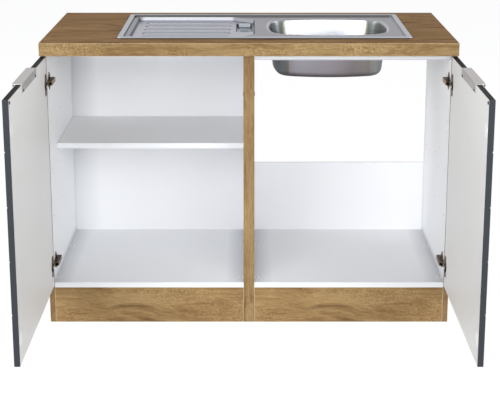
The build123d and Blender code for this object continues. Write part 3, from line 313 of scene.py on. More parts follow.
# %% [markdown]
# Pressed steel mirrors whatever it faces: the slopes that look at the soft boxes are bright, and those that
# look away or sideways are dark. A white studio hides that, so this group paints that reflection into the
# colour: a painted highlight on slopes that look to the front, and painted shade on those that look back or
# sideways. It takes the way the piece's own surface faces, never the camera, so it holds from every side.

# %% Shared effect: painted reflection by slope
painted_reflection_group, given, result = shader_group(
    "painted reflection by slope", {"Vector": None, "Front": 0.75, "Back": 0.5, "Side": 0.7}, {"Shade": "Color"})
facing_x, facing_y, _ = axes(painted_reflection_group, given["Vector"])
to_front = between(painted_reflection_group, times(painted_reflection_group, facing_y, -1.0), 0.12, 0.85)
to_back = between(painted_reflection_group, facing_y, 0.05, 0.85)
to_side = maths(painted_reflection_group, "ABSOLUTE", facing_x)
shade = plus(painted_reflection_group, times(painted_reflection_group, to_front, given["Front"]), 1.0)
shade = maths(painted_reflection_group, "SUBTRACT", shade, times(painted_reflection_group, to_back, given["Back"]))
shade = maths(painted_reflection_group, "SUBTRACT", shade, times(painted_reflection_group, to_side, given["Side"]))
shade = maths(painted_reflection_group, "MAXIMUM", shade, 0.08)
painted_reflection_group.links.new(as_grey(painted_reflection_group, shade), result["Shade"])
print("painted reflection by slope:", len(painted_reflection_group.nodes), "nodes")

# %% [markdown]
# Melamine board and lacquered doors are never quite smooth: a press plate or a spray gun leaves a fine
# pebble pattern, and hands and cloths leave parts that shine a little more. This group gives both, for
# every coated board and moulded piece.

# %% Shared effect: pebbled skin
pebbled, given, result = shader_group(
    "pebbled skin", {"Vector": None, "Grain": 900.0, "Spread": 0.12, "Base": 0.42, "Tint": melamine_white},
    skin_outputs)
pebbles = cloud(pebbled, given["Vector"], scale=given["Grain"])
handled = cloud(pebbled, given["Vector"], scale=4.0, detail=3.0)
rough = times(pebbled, between(pebbled, handled, 0.3, 0.7, -0.5, 0.5), given["Spread"])
pebbled.links.new(plus(pebbled, rough, given["Base"]), result["Roughness"])
pebbled.links.new(pebbles, result["Height"])
faint = plus(pebbled, between(pebbled, handled, 0.3, 0.7, 0.0, 0.03),
             between(pebbled, pebbles, 0.35, 0.65, 0.0, 0.03))
darker = add(pebbled, "ShaderNodeHueSaturation", {"Value": 0.80, "Color": given["Tint"]}).outputs[0]
pebbled.links.new(blend_colours(pebbled, faint, given["Tint"], darker), result["Color"])
print("pebbled skin:", len(pebbled.nodes), "nodes")

# %% [markdown]
# Handling wears corners first. Cycles can round a corner inside the shader and compare that rounded
# normal with the true one: where they differ, there is an edge. Multiplied with a broken-up noise, it
# becomes a mask of rubbed corners, for the handles, the hinges and the screws.

# %% Shared effect: rubbed edges
rubbed, given, result = shader_group("rubbed edges", {"Vector": None, "Width": 0.0012}, {"Mask": "Float"})
rounded = add(rubbed, "ShaderNodeBevel", {"Radius": given["Width"]}, samples=3).outputs[0]
true_normal = add(rubbed, "ShaderNodeNewGeometry").outputs["Normal"]
likeness = add(rubbed, "ShaderNodeVectorMath", {0: rounded, 1: true_normal}, operation="DOT_PRODUCT")
edge = between(rubbed, likeness.outputs["Value"], 0.80, 0.99, 1.0, 0.0)
broken = between(rubbed, cloud(rubbed, given["Vector"], scale=60.0, detail=3.0), 0.35, 0.6)
rubbed.links.new(times(rubbed, edge, broken), result["Mask"])
print("rubbed edges:", len(rubbed.nodes), "nodes")

# %% [markdown]
# Every finish below starts the same way: a material with one Principled shader, and the object's own
# coordinates to hang the pattern on. A bump node turns a height in metres into shading.


# %% Helpers for finishes
def finish(name, base, roughness=0.5, metallic=0.0):
    """A new material: the material, its tree, its shader and the place on the piece."""
    material = bpy.data.materials.new(name)
    material.use_nodes = True
    tree = material.node_tree
    tree.nodes.clear()
    shader = add(tree, "ShaderNodeBsdfPrincipled", {"Base Color": base, "Roughness": roughness,
                                                    "Metallic": metallic})
    add(tree, "ShaderNodeOutputMaterial", {"Surface": shader.outputs[0]})
    return material, tree, shader, add(tree, "ShaderNodeTexCoord").outputs["Object"]


def use_group(tree, group, sockets):
    """Places a shared effect in a material, with its own values."""
    return add(tree, "ShaderNodeGroup", sockets, node_tree=group).outputs


def raise_surface(tree, shader, height, depth):
    """Lets a height pattern, so many metres deep, shade the surface."""
    bump = add(tree, "ShaderNodeBump", {"Height": height, "Distance": depth, "Strength": 1.0})
    tree.links.new(bump.outputs[0], shader.inputs["Normal"])


def cover(tree, shader, colour, skin, depth):
    """Gives a shader its colour, and the roughness and the height pattern of a shared effect."""
    tree.links.new(colour, shader.inputs["Base Color"])
    tree.links.new(skin["Roughness"], shader.inputs["Roughness"])
    raise_surface(tree, shader, skin["Height"], depth)


print("helpers for finishes ready")

# %% [markdown]
# ## Oak decor
# On a worktop and a plinth the grain runs along the length, and on an upright side or edge it runs up. A
# Mapping node turns the pattern, so one grain serves both. The two plinths are cut from one printed roll,
# so the same knot shows on each, 600 mm apart. The worktop's band gets a painted shade along its lower
# arris, and a plinth shows a thin pale line where it butts against the side board.

# %% Places that the oak finishes count from
bottom_low, bottom_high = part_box("floor_panel_right")
bay_middle, bay_half = (bottom_low.x + bottom_high.x) / 2, (bottom_high.x - bottom_low.x) / 2
worktop_low, worktop_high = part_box("worktop")
print("a bay is", round(2 * bay_half, 4), "m wide, the worktop lies on", round(worktop_low.z, 4), "m")


# %% Helper for oak finishes
def oak_finish(name, turn, shift, dark, brown, light, streaks=1.0, flecks=1.0, gloss=0.15, knot=0.0,
               arris=None, butt=None):
    """Golden oak print; turn is the pattern's turn in degrees, shift moves it to another board.

    arris is the height of a lower edge, which gets a painted shade, and butt is the middle of a board that
    butts at both ends.
    """
    material, tree, shader, place = finish(name, brown, 0.5)
    grain = use_group(tree, oak, {"Vector": turn_pattern(tree, place, turn, shift), "Dark": dark,
                                  "Brown": brown, "Light": light, "Streaks": streaks,
                                  "Flecks": flecks, "Knot": knot})
    colour = grain["Color"]
    across, _, height = axes(tree, place)
    if arris is not None:
        # Painted shade along the lower arris.
        lower = between(tree, height, arris, arris + 0.004, 0.6, 0.0)
        colour = blend_colours(tree, lower, colour, dark)
    if butt is not None:
        at_end = between(tree, apart(tree, across, butt), bay_half - 0.0014, bay_half - 0.0007, 0.0, 0.62)
        colour = blend_colours(tree, at_end, colour, rgb(196, 190, 176))
    shader.inputs["Specular IOR Level"].default_value = gloss
    cover(tree, shader, colour, grain, 0.00012)
    return material


print("oak finishes use", oak.name)

# %% Oak finishes
oak_dark, oak_brown, oak_light = rgb(84, 54, 30), rgb(118, 89, 54), rgb(162, 135, 93)
worktop_edge = oak_finish("worktop oak edge", (0, 0, 0), (0.3, 0.1, 0.2), oak_dark, rgb(113, 86, 50),
                          rgb(161, 137, 95), streaks=0.3, flecks=1.3, arris=worktop_low.z)
worktop_top = oak_finish("worktop oak top", (0, 0, 0), (0.8, 0.45, 0.1), rgb(98, 62, 34),
                         rgb(138, 101, 61), rgb(186, 147, 98), streaks=1.6, flecks=0.6, gloss=0.02)
upright_oak = oak_finish("upright oak", (0, 90, 0), (0.4, 0.3, 0.9), oak_dark, rgb(112, 85, 52),
                         rgb(154, 129, 89), streaks=1.5, flecks=0.4)
knot_left, knot_height = 0.052, 0.036
plinth_oaks = {}
for side, middle in (("left", -bay_middle), ("right", bay_middle)):
    to_knot = (knot_left - middle, 0.0, -knot_height)
    plinth_oaks[side] = oak_finish("plinth oak " + side, (0, 0, 0), to_knot, oak_dark, oak_brown,
                                   oak_light, flecks=0.8, knot=1.0, butt=middle)
print("oak finishes:", [m.name for m in (worktop_edge, worktop_top, upright_oak, *plinth_oaks.values())])

# %% [markdown]
# ## Boards
# The cabinets are white melamine chipboard, with white bands on the front edges of the bottoms, the
# rails and the shelf. Where a saw or a drill has opened the board, its pressed chips show. The thin
# backs are hardboard: white foil inside, brown fibre outside.


# %% Helper for coated finishes
def coated_finish(name, tint, base=0.42, spread=0.12, grain=900.0, depth=0.00004, gloss=0.35,
                  shade=None, grey=rgb(150, 153, 160)):
    """A pressed or moulded skin; shade says how grey it is at a place."""
    material, tree, shader, place = finish(name, tint, base)
    shader.inputs["Specular IOR Level"].default_value = gloss
    skin = use_group(tree, pebbled, {"Vector": place, "Grain": grain, "Spread": spread, "Base": base,
                                     "Tint": tint})
    colour = skin["Color"]
    if shade is not None:
        colour = blend_colours(tree, shade(tree, *axes(tree, place)), colour, grey)
    cover(tree, shader, colour, skin, depth)
    return material


white_melamine = coated_finish("white melamine", melamine_white)
white_band = coated_finish("white edge band", rgb(226, 228, 231), base=0.36, grain=1200.0)
white_foil = coated_finish("white foil", foil_white, base=0.5, grain=500.0)
backing = coated_finish("worktop backing", rgb(150, 132, 108), base=0.8, grain=300.0, depth=0.0001)
print("coated finishes:", [m.name for m in (white_melamine, white_band, white_foil, backing)])

# %% [markdown]
# A white board turns grey where it runs into an inner corner, because less of the room reaches it. The
# frontal light here hardly draws that, so the skins in the corners get a weak grey that fades away from
# the corner, and the rail's band gets one on its lower arris. Each is made from the place on the piece.


# %% Skins that turn grey towards a corner
def floor_shade(tree, x, y, z):
    """Towards both sides of a bay."""
    from_middle = apart(tree, maths(tree, "ABSOLUTE", x), bay_middle)
    return between(tree, maths(tree, "SUBTRACT", bay_half, from_middle), 0.0, 0.055, 0.45, 0.0)


def side_shade(tree, x, y, z):
    """Down to the bottom board, and back to the back board."""
    at_foot = between(tree, z, bottom_high.z, bottom_high.z + 0.026, 0.55, 0.0)
    at_back = between(tree, y, bottom_high.y - 0.045, bottom_high.y, 0.0, 0.3)
    return maths(tree, "MAXIMUM", at_foot, at_back)


def back_shade(tree, x, y, z):
    """Towards the outer side of the left bay, and more so higher up."""
    in_corner = between(tree, x, -bottom_high.x, 0.084 - bottom_high.x, 0.6, 0.0)
    return times(tree, in_corner, between(tree, z, 0.2, 0.8, 0.45, 1.0))


def arris_shade(tree, x, y, z):
    """The lower edge of a rail's band."""
    return between(tree, z, rail_foot + 0.002, rail_foot + 0.0045, 0.9, 0.0)


rail_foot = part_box("top_rail_left")[0].z
floor_melamine = coated_finish("melamine of the floors", melamine_white, shade=floor_shade)
side_melamine = coated_finish("melamine of the sides", melamine_white, shade=side_shade)
corner_foil = coated_finish("foil of the left back", foil_white, base=0.5, grain=500.0, shade=back_shade)
rail_band = coated_finish("rail edge band", rgb(204, 207, 212), base=0.36, grain=1200.0,
                          shade=arris_shade, grey=rgb(158, 160, 164))
print("shaded skins:", [m.name for m in (floor_melamine, side_melamine, corner_foil, rail_band)])

# %% [markdown]
# Chipboard is a mosaic of small chips, each of one tone, so a texture of cells draws it, a little longer
# along the board than across. Hardboard is felted fibre, with the faint marks of the wire mesh that it
# was pressed on.


# %% Raw board finishes
def chipboard_finish():
    """Pressed chips, as a saw or a drill opens them."""
    material, tree, shader, place = finish("raw chipboard", rgb(176, 148, 112), 0.9)
    chip_place = stretch(tree, place, 260, 420, 420)
    chips = add(tree, "ShaderNodeTexVoronoi", {"Vector": chip_place, "Scale": 1.0})
    tone = add(tree, "ShaderNodeSeparateColor", {0: chips.outputs["Color"]}).outputs[0]
    colour = blend_colours(tree, tone, rgb(150, 120, 84), rgb(204, 178, 140))
    tree.links.new(colour, shader.inputs["Base Color"])
    raise_surface(tree, shader, chips.outputs["Distance"], 0.0004)
    return material


def hardboard_finish():
    """Brown felted fibre."""
    material, tree, shader, place = finish("brown hardboard", rgb(136, 100, 66), 0.75)
    felt = cloud(tree, place, scale=260.0, detail=4.0)
    mesh_marks = cloud(tree, stretch(tree, place, 40, 40, 40), detail=3.0)
    felt = plus(tree, times(tree, felt, 0.7), times(tree, mesh_marks, 0.3))
    colour = blend_colours(tree, between(tree, felt, 0.35, 0.65), rgb(118, 84, 53), rgb(152, 115, 78))
    tree.links.new(colour, shader.inputs["Base Color"])
    raise_surface(tree, shader, felt, 0.0003)
    return material


chipboard = chipboard_finish()
hardboard = hardboard_finish()
print("raw boards:", chipboard.name, hardboard.name)

# %% [markdown]
# ## Doors
# A door here has a dark lacquered outside and edges, and a light inside that is close to the cabinet's
# white but a little warmer.

# %% Door finishes
door_inside = coated_finish("door inside", rgb(229, 228, 226), base=0.45)
anthracite = coated_finish("anthracite lacquer", rgb(58, 61, 67), base=0.42, spread=0.16, grain=1300.0,
                           depth=0.00003)
dark_edge = coated_finish("anthracite edge band", rgb(52, 55, 60), base=0.55, grain=1300.0, gloss=0.12)
top_edge = coated_finish("anthracite top edge", rgb(34, 34, 35), base=0.6, grain=1300.0, gloss=0.05)
print("door finishes:", door_inside.name, anthracite.name, dark_edge.name, top_edge.name)

# %% [markdown]
# ## Steel
# The deck of the sink is brushed along its length, and its pressed slopes get a painted reflection by the
# way they face. The handles are brushed along their length too, which is along Y here, so their pattern is
# turned by 90 degrees. Metal shines more at a flat angle; the tint at the edge holds that back, as the fine
# scratches of brushed steel do.


# %% Helper for steel finishes
def steel_finish(name, tint, smooth, rough, turn=(0, 0, 0), depth=0.000006, wear=0.0, slopes=None,
                 flat=0.62):
    """Brushed metal; the brushing runs along X before the turn.

    slopes are the shares of a painted reflection: brighter on faces that look to the front, darker on those
    that look back or sideways. wear is how bright rubbed corners get, and flat holds back the shine at a
    flat angle.
    """
    material, tree, shader, place = finish(name, tint, smooth, metallic=1.0)
    shader.inputs["Specular Tint"].default_value = (flat, flat, flat * 1.02, 1.0)
    lines = use_group(tree, brushed, {"Vector": turn_pattern(tree, place, turn), "Smooth": smooth,
                                      "Rough": rough})
    tone = darkened(tree, tint, lines["Shade"])
    if slopes:
        own_normal = add(tree, "ShaderNodeTexCoord").outputs["Normal"]
        front, back, side = slopes
        by_slope = use_group(tree, painted_reflection_group, {"Vector": own_normal, "Front": front, "Back": back,
                                                  "Side": side})
        tone = darkened(tree, tone, by_slope["Shade"])
    if wear:
        mask = use_group(tree, rubbed, {"Vector": place, "Width": 0.0006})["Mask"]
        tone = blend_colours(tree, times(tree, mask, wear), tone, rgb(226, 224, 220))
    cover(tree, shader, tone, lines, depth)
    return material


print("steel finishes use", brushed.name)

# %% [markdown]
# Each part of the pressed sink mirrors another part of the room, so each has its own tint, a painted
# reflection. The pan and the rim are the brightest, the ridges and the deck are darker, and the slopes of
# the overflow well that look to the front are darkest. The step at the back and the skirt at the front get
# a painted shade, a dark line, and the step at the right gets a painted highlight, a bright line.

# %% Steel of the sink
deck_steel = steel_finish("deck steel", rgb(162, 162, 168), 0.18, 0.30, slopes=(0.5, 0.5, 0.6))
rim_steel = steel_finish("rim steel", rgb(202, 206, 215), 0.18, 0.30)
pan_steel = steel_finish("drainer steel", rgb(206, 208, 216), 0.18, 0.30, slopes=(0.14, 0.6, 0.8))
ridge_steel = steel_finish("ridge steel", rgb(162, 164, 172), 0.20, 0.34, slopes=(0.35, 0.9, 0.4))
well_steel = steel_finish("well steel", rgb(200, 206, 216), 0.22, 0.36, slopes=(-0.74, 0.3, 0.4))
# Painted shade on the step at the back and the skirt at the front, and a painted highlight on the step at
# the right.
painted_shade_steel = steel_finish("steel with painted shade", rgb(84, 82, 80), 0.25, 0.40, flat=0.8)
painted_highlight_steel = steel_finish("steel with painted highlight", rgb(204, 202, 202), 0.25, 0.40, flat=0.9)
print("sink steels:", [m.name for m in (deck_steel, rim_steel, pan_steel, ridge_steel, well_steel)])

# %% [markdown]
# The hinges are nickel with a warm, bronzed tone. The broad face of an arm is paler, a painted highlight,
# and its folded flanks are darker, a painted shade; the links have the same dark tone. The handle screws
# are dark, and the nails, studs, pins and angles are bright zinc. All of these are handled or driven with a
# tool, so their corners are rubbed.

# %% Metal of the handles, hinges and screws
handle_steel = steel_finish("handle steel", rgb(192, 188, 185), 0.30, 0.46, turn=(0, 0, 90), wear=0.4,
                            flat=0.8)
nickel = steel_finish("bronzed nickel", rgb(112, 96, 82), 0.20, 0.38, depth=0.00001, wear=0.5)
# A painted highlight for the broad face of a hinge arm, and a painted shade for its flanks, which the links
# share.
painted_light_bronze = steel_finish("bronze with painted light", rgb(178, 146, 116), 0.24, 0.40, depth=0.00001, wear=0.4)
dark_bronze_painted_shade = steel_finish("dark bronze with painted shade", rgb(92, 82, 71), 0.24, 0.42, depth=0.00001, wear=0.7)
dark_zinc = steel_finish("dark zinc", rgb(48, 48, 52), 0.34, 0.5, depth=0.00001, wear=0.3)
zinc = steel_finish("zinc plate", rgb(172, 174, 176), 0.30, 0.50, depth=0.00001, wear=0.3)
print("metals:", [m.name for m in (handle_steel, nickel, painted_light_bronze, dark_bronze_painted_shade, dark_zinc, zinc)])

# %% [markdown]
# The drawn bowl is the shiniest piece. Inside, its back wall mirrors the soft boxes, and the ends turn
# through bands of olive and blue grey. These are painted reflections, and so are the tone of its floor and
# the darker line along its lip. Underneath it is duller, with broad mauve and brown bands of painted
# reflection. A painted shade darkens it towards its foot, and a dark painted shade lies on its level faces.
# The bands follow the sideways turn of the wall, so a colour ramp on that part of the normal draws them.


# %% Helpers for the bowl
def bands(tree, value, stops):
    """A colour ramp: pairs of a place from 0 to 1 and a colour."""
    ramp = add(tree, "ShaderNodeValToRGB", {0: value})
    ramp.color_ramp.interpolation = "EASE"
    elements = ramp.color_ramp.elements
    while len(elements) < len(stops):
        elements.new(0.5)
    for element, (position, colour) in zip(elements, stops):
        element.position = position
        element.color = colour
    return ramp.outputs[0]


def bowl_finish(name, stops, smooth, rough, foot, top, painted_level_tone, flat, lip=None):
    """Drawn steel with a painted reflection in bands by the way the wall turns. foot and top paint a shade
    from its foot up, painted_level_tone is the painted tone of level faces, and lip is the painted tone of
    the lip.
    """
    material, tree, shader, place = finish(name, stops[0][1], smooth, metallic=1.0)
    shader.inputs["Specular Tint"].default_value = (flat, flat, flat, 1.0)
    facing_x, _, facing_z = axes(tree, add(tree, "ShaderNodeTexCoord").outputs["Normal"])
    height = axes(tree, place)[2]
    painted_climb_shade = between(tree, height, bowl_low.z + 0.015, bowl_low.z + 0.090, foot, top)
    tone = darkened(tree, bands(tree, between(tree, facing_x, -1, 1), stops), as_grey(tree, painted_climb_shade))
    level = between(tree, maths(tree, "ABSOLUTE", facing_z), 0.25, 0.9)
    tone = blend_colours(tree, level, tone, painted_level_tone)
    if lip is not None:
        at_lip = between(tree, height, bowl_high.z - 0.010, bowl_high.z - 0.005)
        tone = blend_colours(tree, at_lip, tone, lip)
    lines = use_group(tree, brushed, {"Vector": stretch(tree, place, 0.12, 0.12, 1), "Smooth": smooth,
                                      "Rough": rough})
    cover(tree, shader, darkened(tree, tone, lines["Shade"]), lines, 0.000006)
    return material


bowl_low, bowl_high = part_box("sink_bowl")
print("the bowl is", round(bowl_high.z - bowl_low.z, 4), "m deep with its waste seat")

# %% Bowl finishes
# Painted reflection bands, inside the bowl and under it.
bowl_reflection_stops = [(0.0, rgb(150, 150, 147)), (0.08, rgb(126, 128, 126)), (0.17, rgb(166, 172, 175)),
              (0.24, rgb(150, 150, 132)), (0.37, rgb(216, 217, 214)), (0.43, rgb(204, 208, 214)),
              (0.50, rgb(212, 213, 216)), (0.57, rgb(198, 202, 209)), (0.65, rgb(208, 209, 208)),
              (0.75, rgb(150, 150, 134)), (0.84, rgb(168, 175, 180)), (0.92, rgb(124, 130, 134)),
              (1.0, rgb(140, 144, 146))]
under_reflection_stops = [(0.0, rgb(150, 153, 157)), (0.14, rgb(144, 147, 151)), (0.27, rgb(138, 138, 139)),
               (0.33, rgb(132, 123, 117)), (0.38, rgb(148, 145, 152)), (0.48, rgb(142, 138, 146)),
               (0.57, rgb(140, 132, 137)), (0.64, rgb(158, 153, 150)), (0.70, rgb(178, 175, 170)),
               (0.80, rgb(188, 188, 185)), (0.92, rgb(180, 185, 189)), (1.0, rgb(184, 189, 194))]
bowl_steel = bowl_finish("bowl steel", bowl_reflection_stops, 0.20, 0.32, 1.0, 1.0, rgb(196, 197, 200), 0.9,
                         lip=rgb(158, 160, 164))
under_steel = bowl_finish("bowl underside steel", under_reflection_stops, 0.30, 0.44, 0.80, 1.08, rgb(96, 88, 84), 0.7)
print("bowl finishes:", bowl_steel.name, under_steel.name)

# %% [markdown]
# ## Plastics and foam
# Small mouldings: white caps, connector housings whose sockets get a painted deep shade, dark brown door
# bumpers, and the grey foam strip that seals the sink to the worktop.

# %% Plastic and foam finishes
white_plastic = coated_finish("white plastic", rgb(238, 238, 236), base=0.3, grain=1500.0, depth=0.00002)
bumper_rubber = coated_finish("bumper rubber", rgb(58, 44, 38), base=0.55, grain=1500.0)
# Painted deep shade for the sockets of the connector housings.
socket_shade = coated_finish("shaded socket", rgb(70, 74, 82), base=0.8, grain=1500.0)
seal_foam = coated_finish("seal foam", rgb(96, 97, 99), base=0.9, grain=700.0, depth=0.0004)
print("plastics:", [m.name for m in (white_plastic, bumper_rubber, socket_shade, seal_foam)])

# %% [markdown]
# ## Putting the finishes on
# A CAD piece keeps its mesh, and only the finish of each face is chosen. A board has a different skin on
# each side, so a finish can be given to the faces that look along one axis and lie on that side of the
# piece. Where a piece needs more, a test on the place and the direction of each face picks them.

# %% Helpers that dress a CAD piece
SIDES = {"-X": (0, -1), "+X": (0, 1), "-Y": (1, -1), "+Y": (1, 1), "-Z": (2, -1), "+Z": (2, 1)}


def faces_of(mesh):
    """The normals and the centres of the faces, a row for each face."""
    found = []
    for title in ("normal", "center"):
        values = np.empty(len(mesh.polygons) * 3)
        mesh.polygons.foreach_get(title, values)
        found.append(values.reshape(-1, 3))
    return found


def dress(node, main, sides=None):
    """Gives a piece its main finish, and others to its outermost faces by direction."""
    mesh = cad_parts[node].data
    low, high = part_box(node)
    normals, centres = faces_of(mesh)
    finishes = [main]
    chosen = np.zeros(len(centres), dtype=np.int32)
    for side, material in (sides or {}).items():
        axis, sign = SIDES[side]
        face = (high if sign > 0 else low)[axis]
        outer = (normals[:, axis] * sign > 0.9) & (np.abs(centres[:, axis] - face) < 0.002)
        if material not in finishes:
            finishes.append(material)
        chosen[outer] = finishes.index(material)
    mesh.materials.clear()
    for material in finishes:
        mesh.materials.append(material)
    mesh.polygons.foreach_set("material_index", chosen)
    mesh.update()


def dress_where(node, material, test):
    """Gives one more finish to the faces that pass a test on their normals and centres."""
    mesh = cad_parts[node].data
    chosen = np.empty(len(mesh.polygons), dtype=np.int32)
    mesh.polygons.foreach_get("material_index", chosen)
    passed = test(*faces_of(mesh))
    mesh.materials.append(material)
    chosen[passed] = len(mesh.materials) - 1
    mesh.polygons.foreach_set("material_index", chosen)
    mesh.update()
    return int(passed.sum())


print("a piece can be dressed on", len(SIDES), "sides, or by a test")

# %% [markdown]
# The outer sides of the cabinets are oak outside and white inside, and the two sides that meet in the
# middle are white. Sides and plinths are dressed as chipboard first and get a skin on each coated side,
# so the holes drilled in them show chips. The other boards are white first, and bare where they are sawn.

# %% Dress the cabinets
saw_cuts = {"-X": chipboard, "+X": chipboard}
for outside, inside, node in (("-X", "+X", "side_left_outer"), ("+X", "-X", "side_right_outer")):
    dress(node, chipboard, {outside: upright_oak, inside: side_melamine, "-Y": white_melamine})
for node in ("side_left_inner", "side_right_inner"):
    dress(node, chipboard, {"-X": side_melamine, "+X": side_melamine, "-Y": white_melamine})
for name in ("left_outer", "left_inner", "right_inner", "right_outer"):
    dress("edge_band_" + name, upright_oak)
for side in ("left", "right"):
    dress("floor_panel_" + side, white_melamine, {"+Z": floor_melamine, **saw_cuts, "+Y": chipboard,
                                                  "-Y": white_band})
    dress("plinth_" + side, chipboard, {"-Y": plinth_oaks[side], "+Y": white_melamine})
    dress("top_rail_" + side, white_melamine, {**saw_cuts, "-Y": rail_band})
    dress("rear_rail_" + side, white_melamine, saw_cuts)
dress("back_board_left", hardboard, {"-Y": corner_foil})
dress("half_back_board_right", hardboard, {"-Y": white_foil})
dress("shelf", white_melamine, {"-Y": white_band})
dress("connector_housings", white_plastic)
for node in ("shelf_pins", "connector_studs", "joining_bolts", "back_nails", "worktop_brackets"):
    dress(node, zinc)
print("cabinets dressed")

# %% [markdown]
# The worktop has its print on the top and on three edges, and a plain backing underneath. The sink lies
# in it: its deck is as high as the worktop, and only the rim stands proud.

# %% Dress the worktop and what holds the sink
dress("worktop", chipboard, {"+Z": worktop_top, "-Y": worktop_edge, "-X": worktop_edge,
                             "+X": worktop_edge, "-Z": backing})
dress("sink_seal", seal_foam)
dress("sink_clips", zinc)
print("worktop dressed")

# %% [markdown]
# The deck of the sink is one pressed sheet, so its parts are told apart by their places. They are
# counted from the corners of the deck and from the level of the worktop. The rim is 16 mm wide, and
# 28 mm at the back. The pan is 10 mm deep, and its ridges are 2.5 mm high.

# %% Places on the sink's deck
sink_low, sink_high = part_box("sink_deck")
half_mm = 0.0005
deck_level = worktop_high.z
deck_right, deck_back = sink_high.x - 0.016, sink_high.y - 0.028
pan_left, pan_right = sink_low.x + 0.031, sink_low.x + 0.402
pan_floor = deck_level - 0.010
ridge_top = pan_floor + 0.0025
ridges_left, ridges_right = pan_left + 0.018, pan_right - 0.038
ridges_front, ridges_back = sink_low.y + 0.066, deck_back - 0.066
well_left = pan_right - 0.138
print("drainer pan", round(pan_right - pan_left, 4), "m long, floor at", round(pan_floor, 4), "m")


# %% Tests that tell the parts of the deck
def within(places, low, high):
    """True where a place lies between two limits."""
    return (places > low) & (places < high)


def in_pan(normals, centres):
    """The drainer pan with all that is in it, below the deck."""
    x, y, z = centres.T
    return (z < deck_level + 0.0003) & within(x, pan_left - half_mm, pan_right + half_mm)


def on_ridges(normals, centres):
    """The five raised ridges of the drainer pan."""
    x, y, z = centres.T
    standing = within(z, pan_floor + 0.00005, ridge_top + half_mm)
    return standing & within(x, ridges_left, ridges_right) & within(y, ridges_front, ridges_back)


def in_well(normals, centres):
    """The sunken overflow well at the drainer's right-hand end, and the underside of the pan there."""
    x, y, z = centres.T
    return (z < pan_floor - half_mm) & (x > well_left)


def on_rim(normals, centres):
    """The flat top of the rim and its round, at the front and the left and right ends."""
    x, y, z = centres.T
    return (z > sink_high.z - 0.0017) & (normals[:, 2] > 0.2) & (y < deck_back)


def back_step(normals, centres):
    """The step down from the rim to the deck along the back."""
    x, y, z = centres.T
    return (normals[:, 1] < -0.5) & (y > deck_back - 0.006) & (z > deck_level + half_mm)


def front_skirt(normals, centres):
    """The upright part of the rim along the front."""
    return (normals[:, 1] < -0.93) & (centres[:, 1] < sink_low.y + half_mm)


def right_step(normals, centres):
    """The step down from the rim to the deck at the right end."""
    x, y, z = centres.T
    return (normals[:, 0] < -0.5) & (x > deck_right - 0.005) & (z > deck_level + half_mm)


print("the rim stands", round(sink_high.z - deck_level, 4), "m above the deck")

# %% [markdown]
# A face that passes two tests gets the finish of the later one: the ridges and the well lie in the pan.

# %% Dress the deck of the sink
dress("sink_deck", deck_steel)
for steel, test in ((pan_steel, in_pan), (ridge_steel, on_ridges), (well_steel, in_well),
                    (rim_steel, on_rim), (painted_shade_steel, back_step), (painted_shade_steel, front_skirt),
                    (painted_highlight_steel, right_step)):
    print(test.__name__, dress_where("sink_deck", steel, test), "faces")

# %% [markdown]
# The bowl is a thin sheet with an inside and an outside. A face of the outside looks away from the
# middle of the bowl, or down. The rolled lip at the top belongs to the inside.


# %% Dress the bowl
def outside_of_bowl(normals, centres):
    """Faces that look away from the middle of the bowl, or down."""
    middle = np.array(((bowl_low + bowl_high) / 2)[:2])
    away = (normals[:, :2] * (centres[:, :2] - middle)).sum(axis=1)
    down = (normals[:, 2] < -0.5) & (np.abs(away) < 0.2)
    lip = centres[:, 2] > bowl_high.z - 0.0002
    return ((away > 0.004) | down) & ~lip


dress("sink_bowl", bowl_steel)
print("outer faces of the bowl:", dress_where("sink_bowl", under_steel, outside_of_bowl))

# %% [markdown]
# A door is light inside and dark on its edges, darkest along the top. The arms of the hinges are folded
# from sheet: the broad face of the fold gets a painted highlight, and its flanks get a painted shade.


# %% Dress the doors
def on_web(normals, centres):
    """The broad face of a hinge arm, which looks into the cabinet."""
    return np.abs(normals[:, 0]) > 0.7


def on_flanks(normals, centres):
    """The folded flanks of a hinge arm, which look up and down."""
    return np.abs(normals[:, 2]) > 0.6


for side, inside in (("left", "+X"), ("right", "-X")):
    dress("door_" + side, anthracite, {inside: door_inside, "-Y": dark_edge, "+Y": dark_edge,
                                       "-Z": dark_edge, "+Z": top_edge})
    dress("handle_" + side, handle_steel)
    dress("bore_caps_" + side, white_plastic)
    dress("bumper_" + side, bumper_rubber)
    dress("hinge_links_" + side, dark_bronze_painted_shade)
    for piece in ("hinge_cups_", "hinge_arms_", "hinge_plates_"):
        dress(piece + side, nickel)
    print(side, "arms:", dress_where("hinge_arms_" + side, painted_light_bronze, on_web), "faces of the web and",
          dress_where("hinge_arms_" + side, dark_bronze_painted_shade, on_flanks), "of the flanks")

# %% [markdown]
# ## Small solids
# A group of small pieces, such as the screws or the connector housings, is one mesh of separate solids.
# Merging its doubles joins the loose triangles of each solid, and walking along the edges finds the
# solids one by one.


# %% Find the separate solids of a piece
def solids_of(node):
    """The lowest and highest corner of each separate solid in a CAD piece."""
    shape = bmesh.new()
    shape.from_mesh(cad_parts[node].data)
    bmesh.ops.remove_doubles(shape, verts=shape.verts, dist=1e-6)
    waiting = set(shape.verts)
    found = []
    while waiting:
        group = {waiting.pop()}
        edge = list(group)
        while edge:
            near = {e.other_vert(v) for v in edge for e in v.link_edges} & waiting
            waiting -= near
            group |= near
            edge = list(near)
        corners = np.array([v.co for v in group])
        found.append((Vector(corners.min(0)), Vector(corners.max(0))))
    shape.free()
    return sorted(found, key=lambda pair: tuple(pair[0]))


print("connector housings:", len(solids_of("connector_housings")))

# %% [markdown]
# Each housing has a round socket in its top for the screwdriver. It lies on the axis of the housing's round
# end, which points to the middle of the bay, and its floor and wall get a painted shade.

# %% Painted shade in the sockets of the connector housings
socket_radius, socket_depth = 0.0026, 0.006


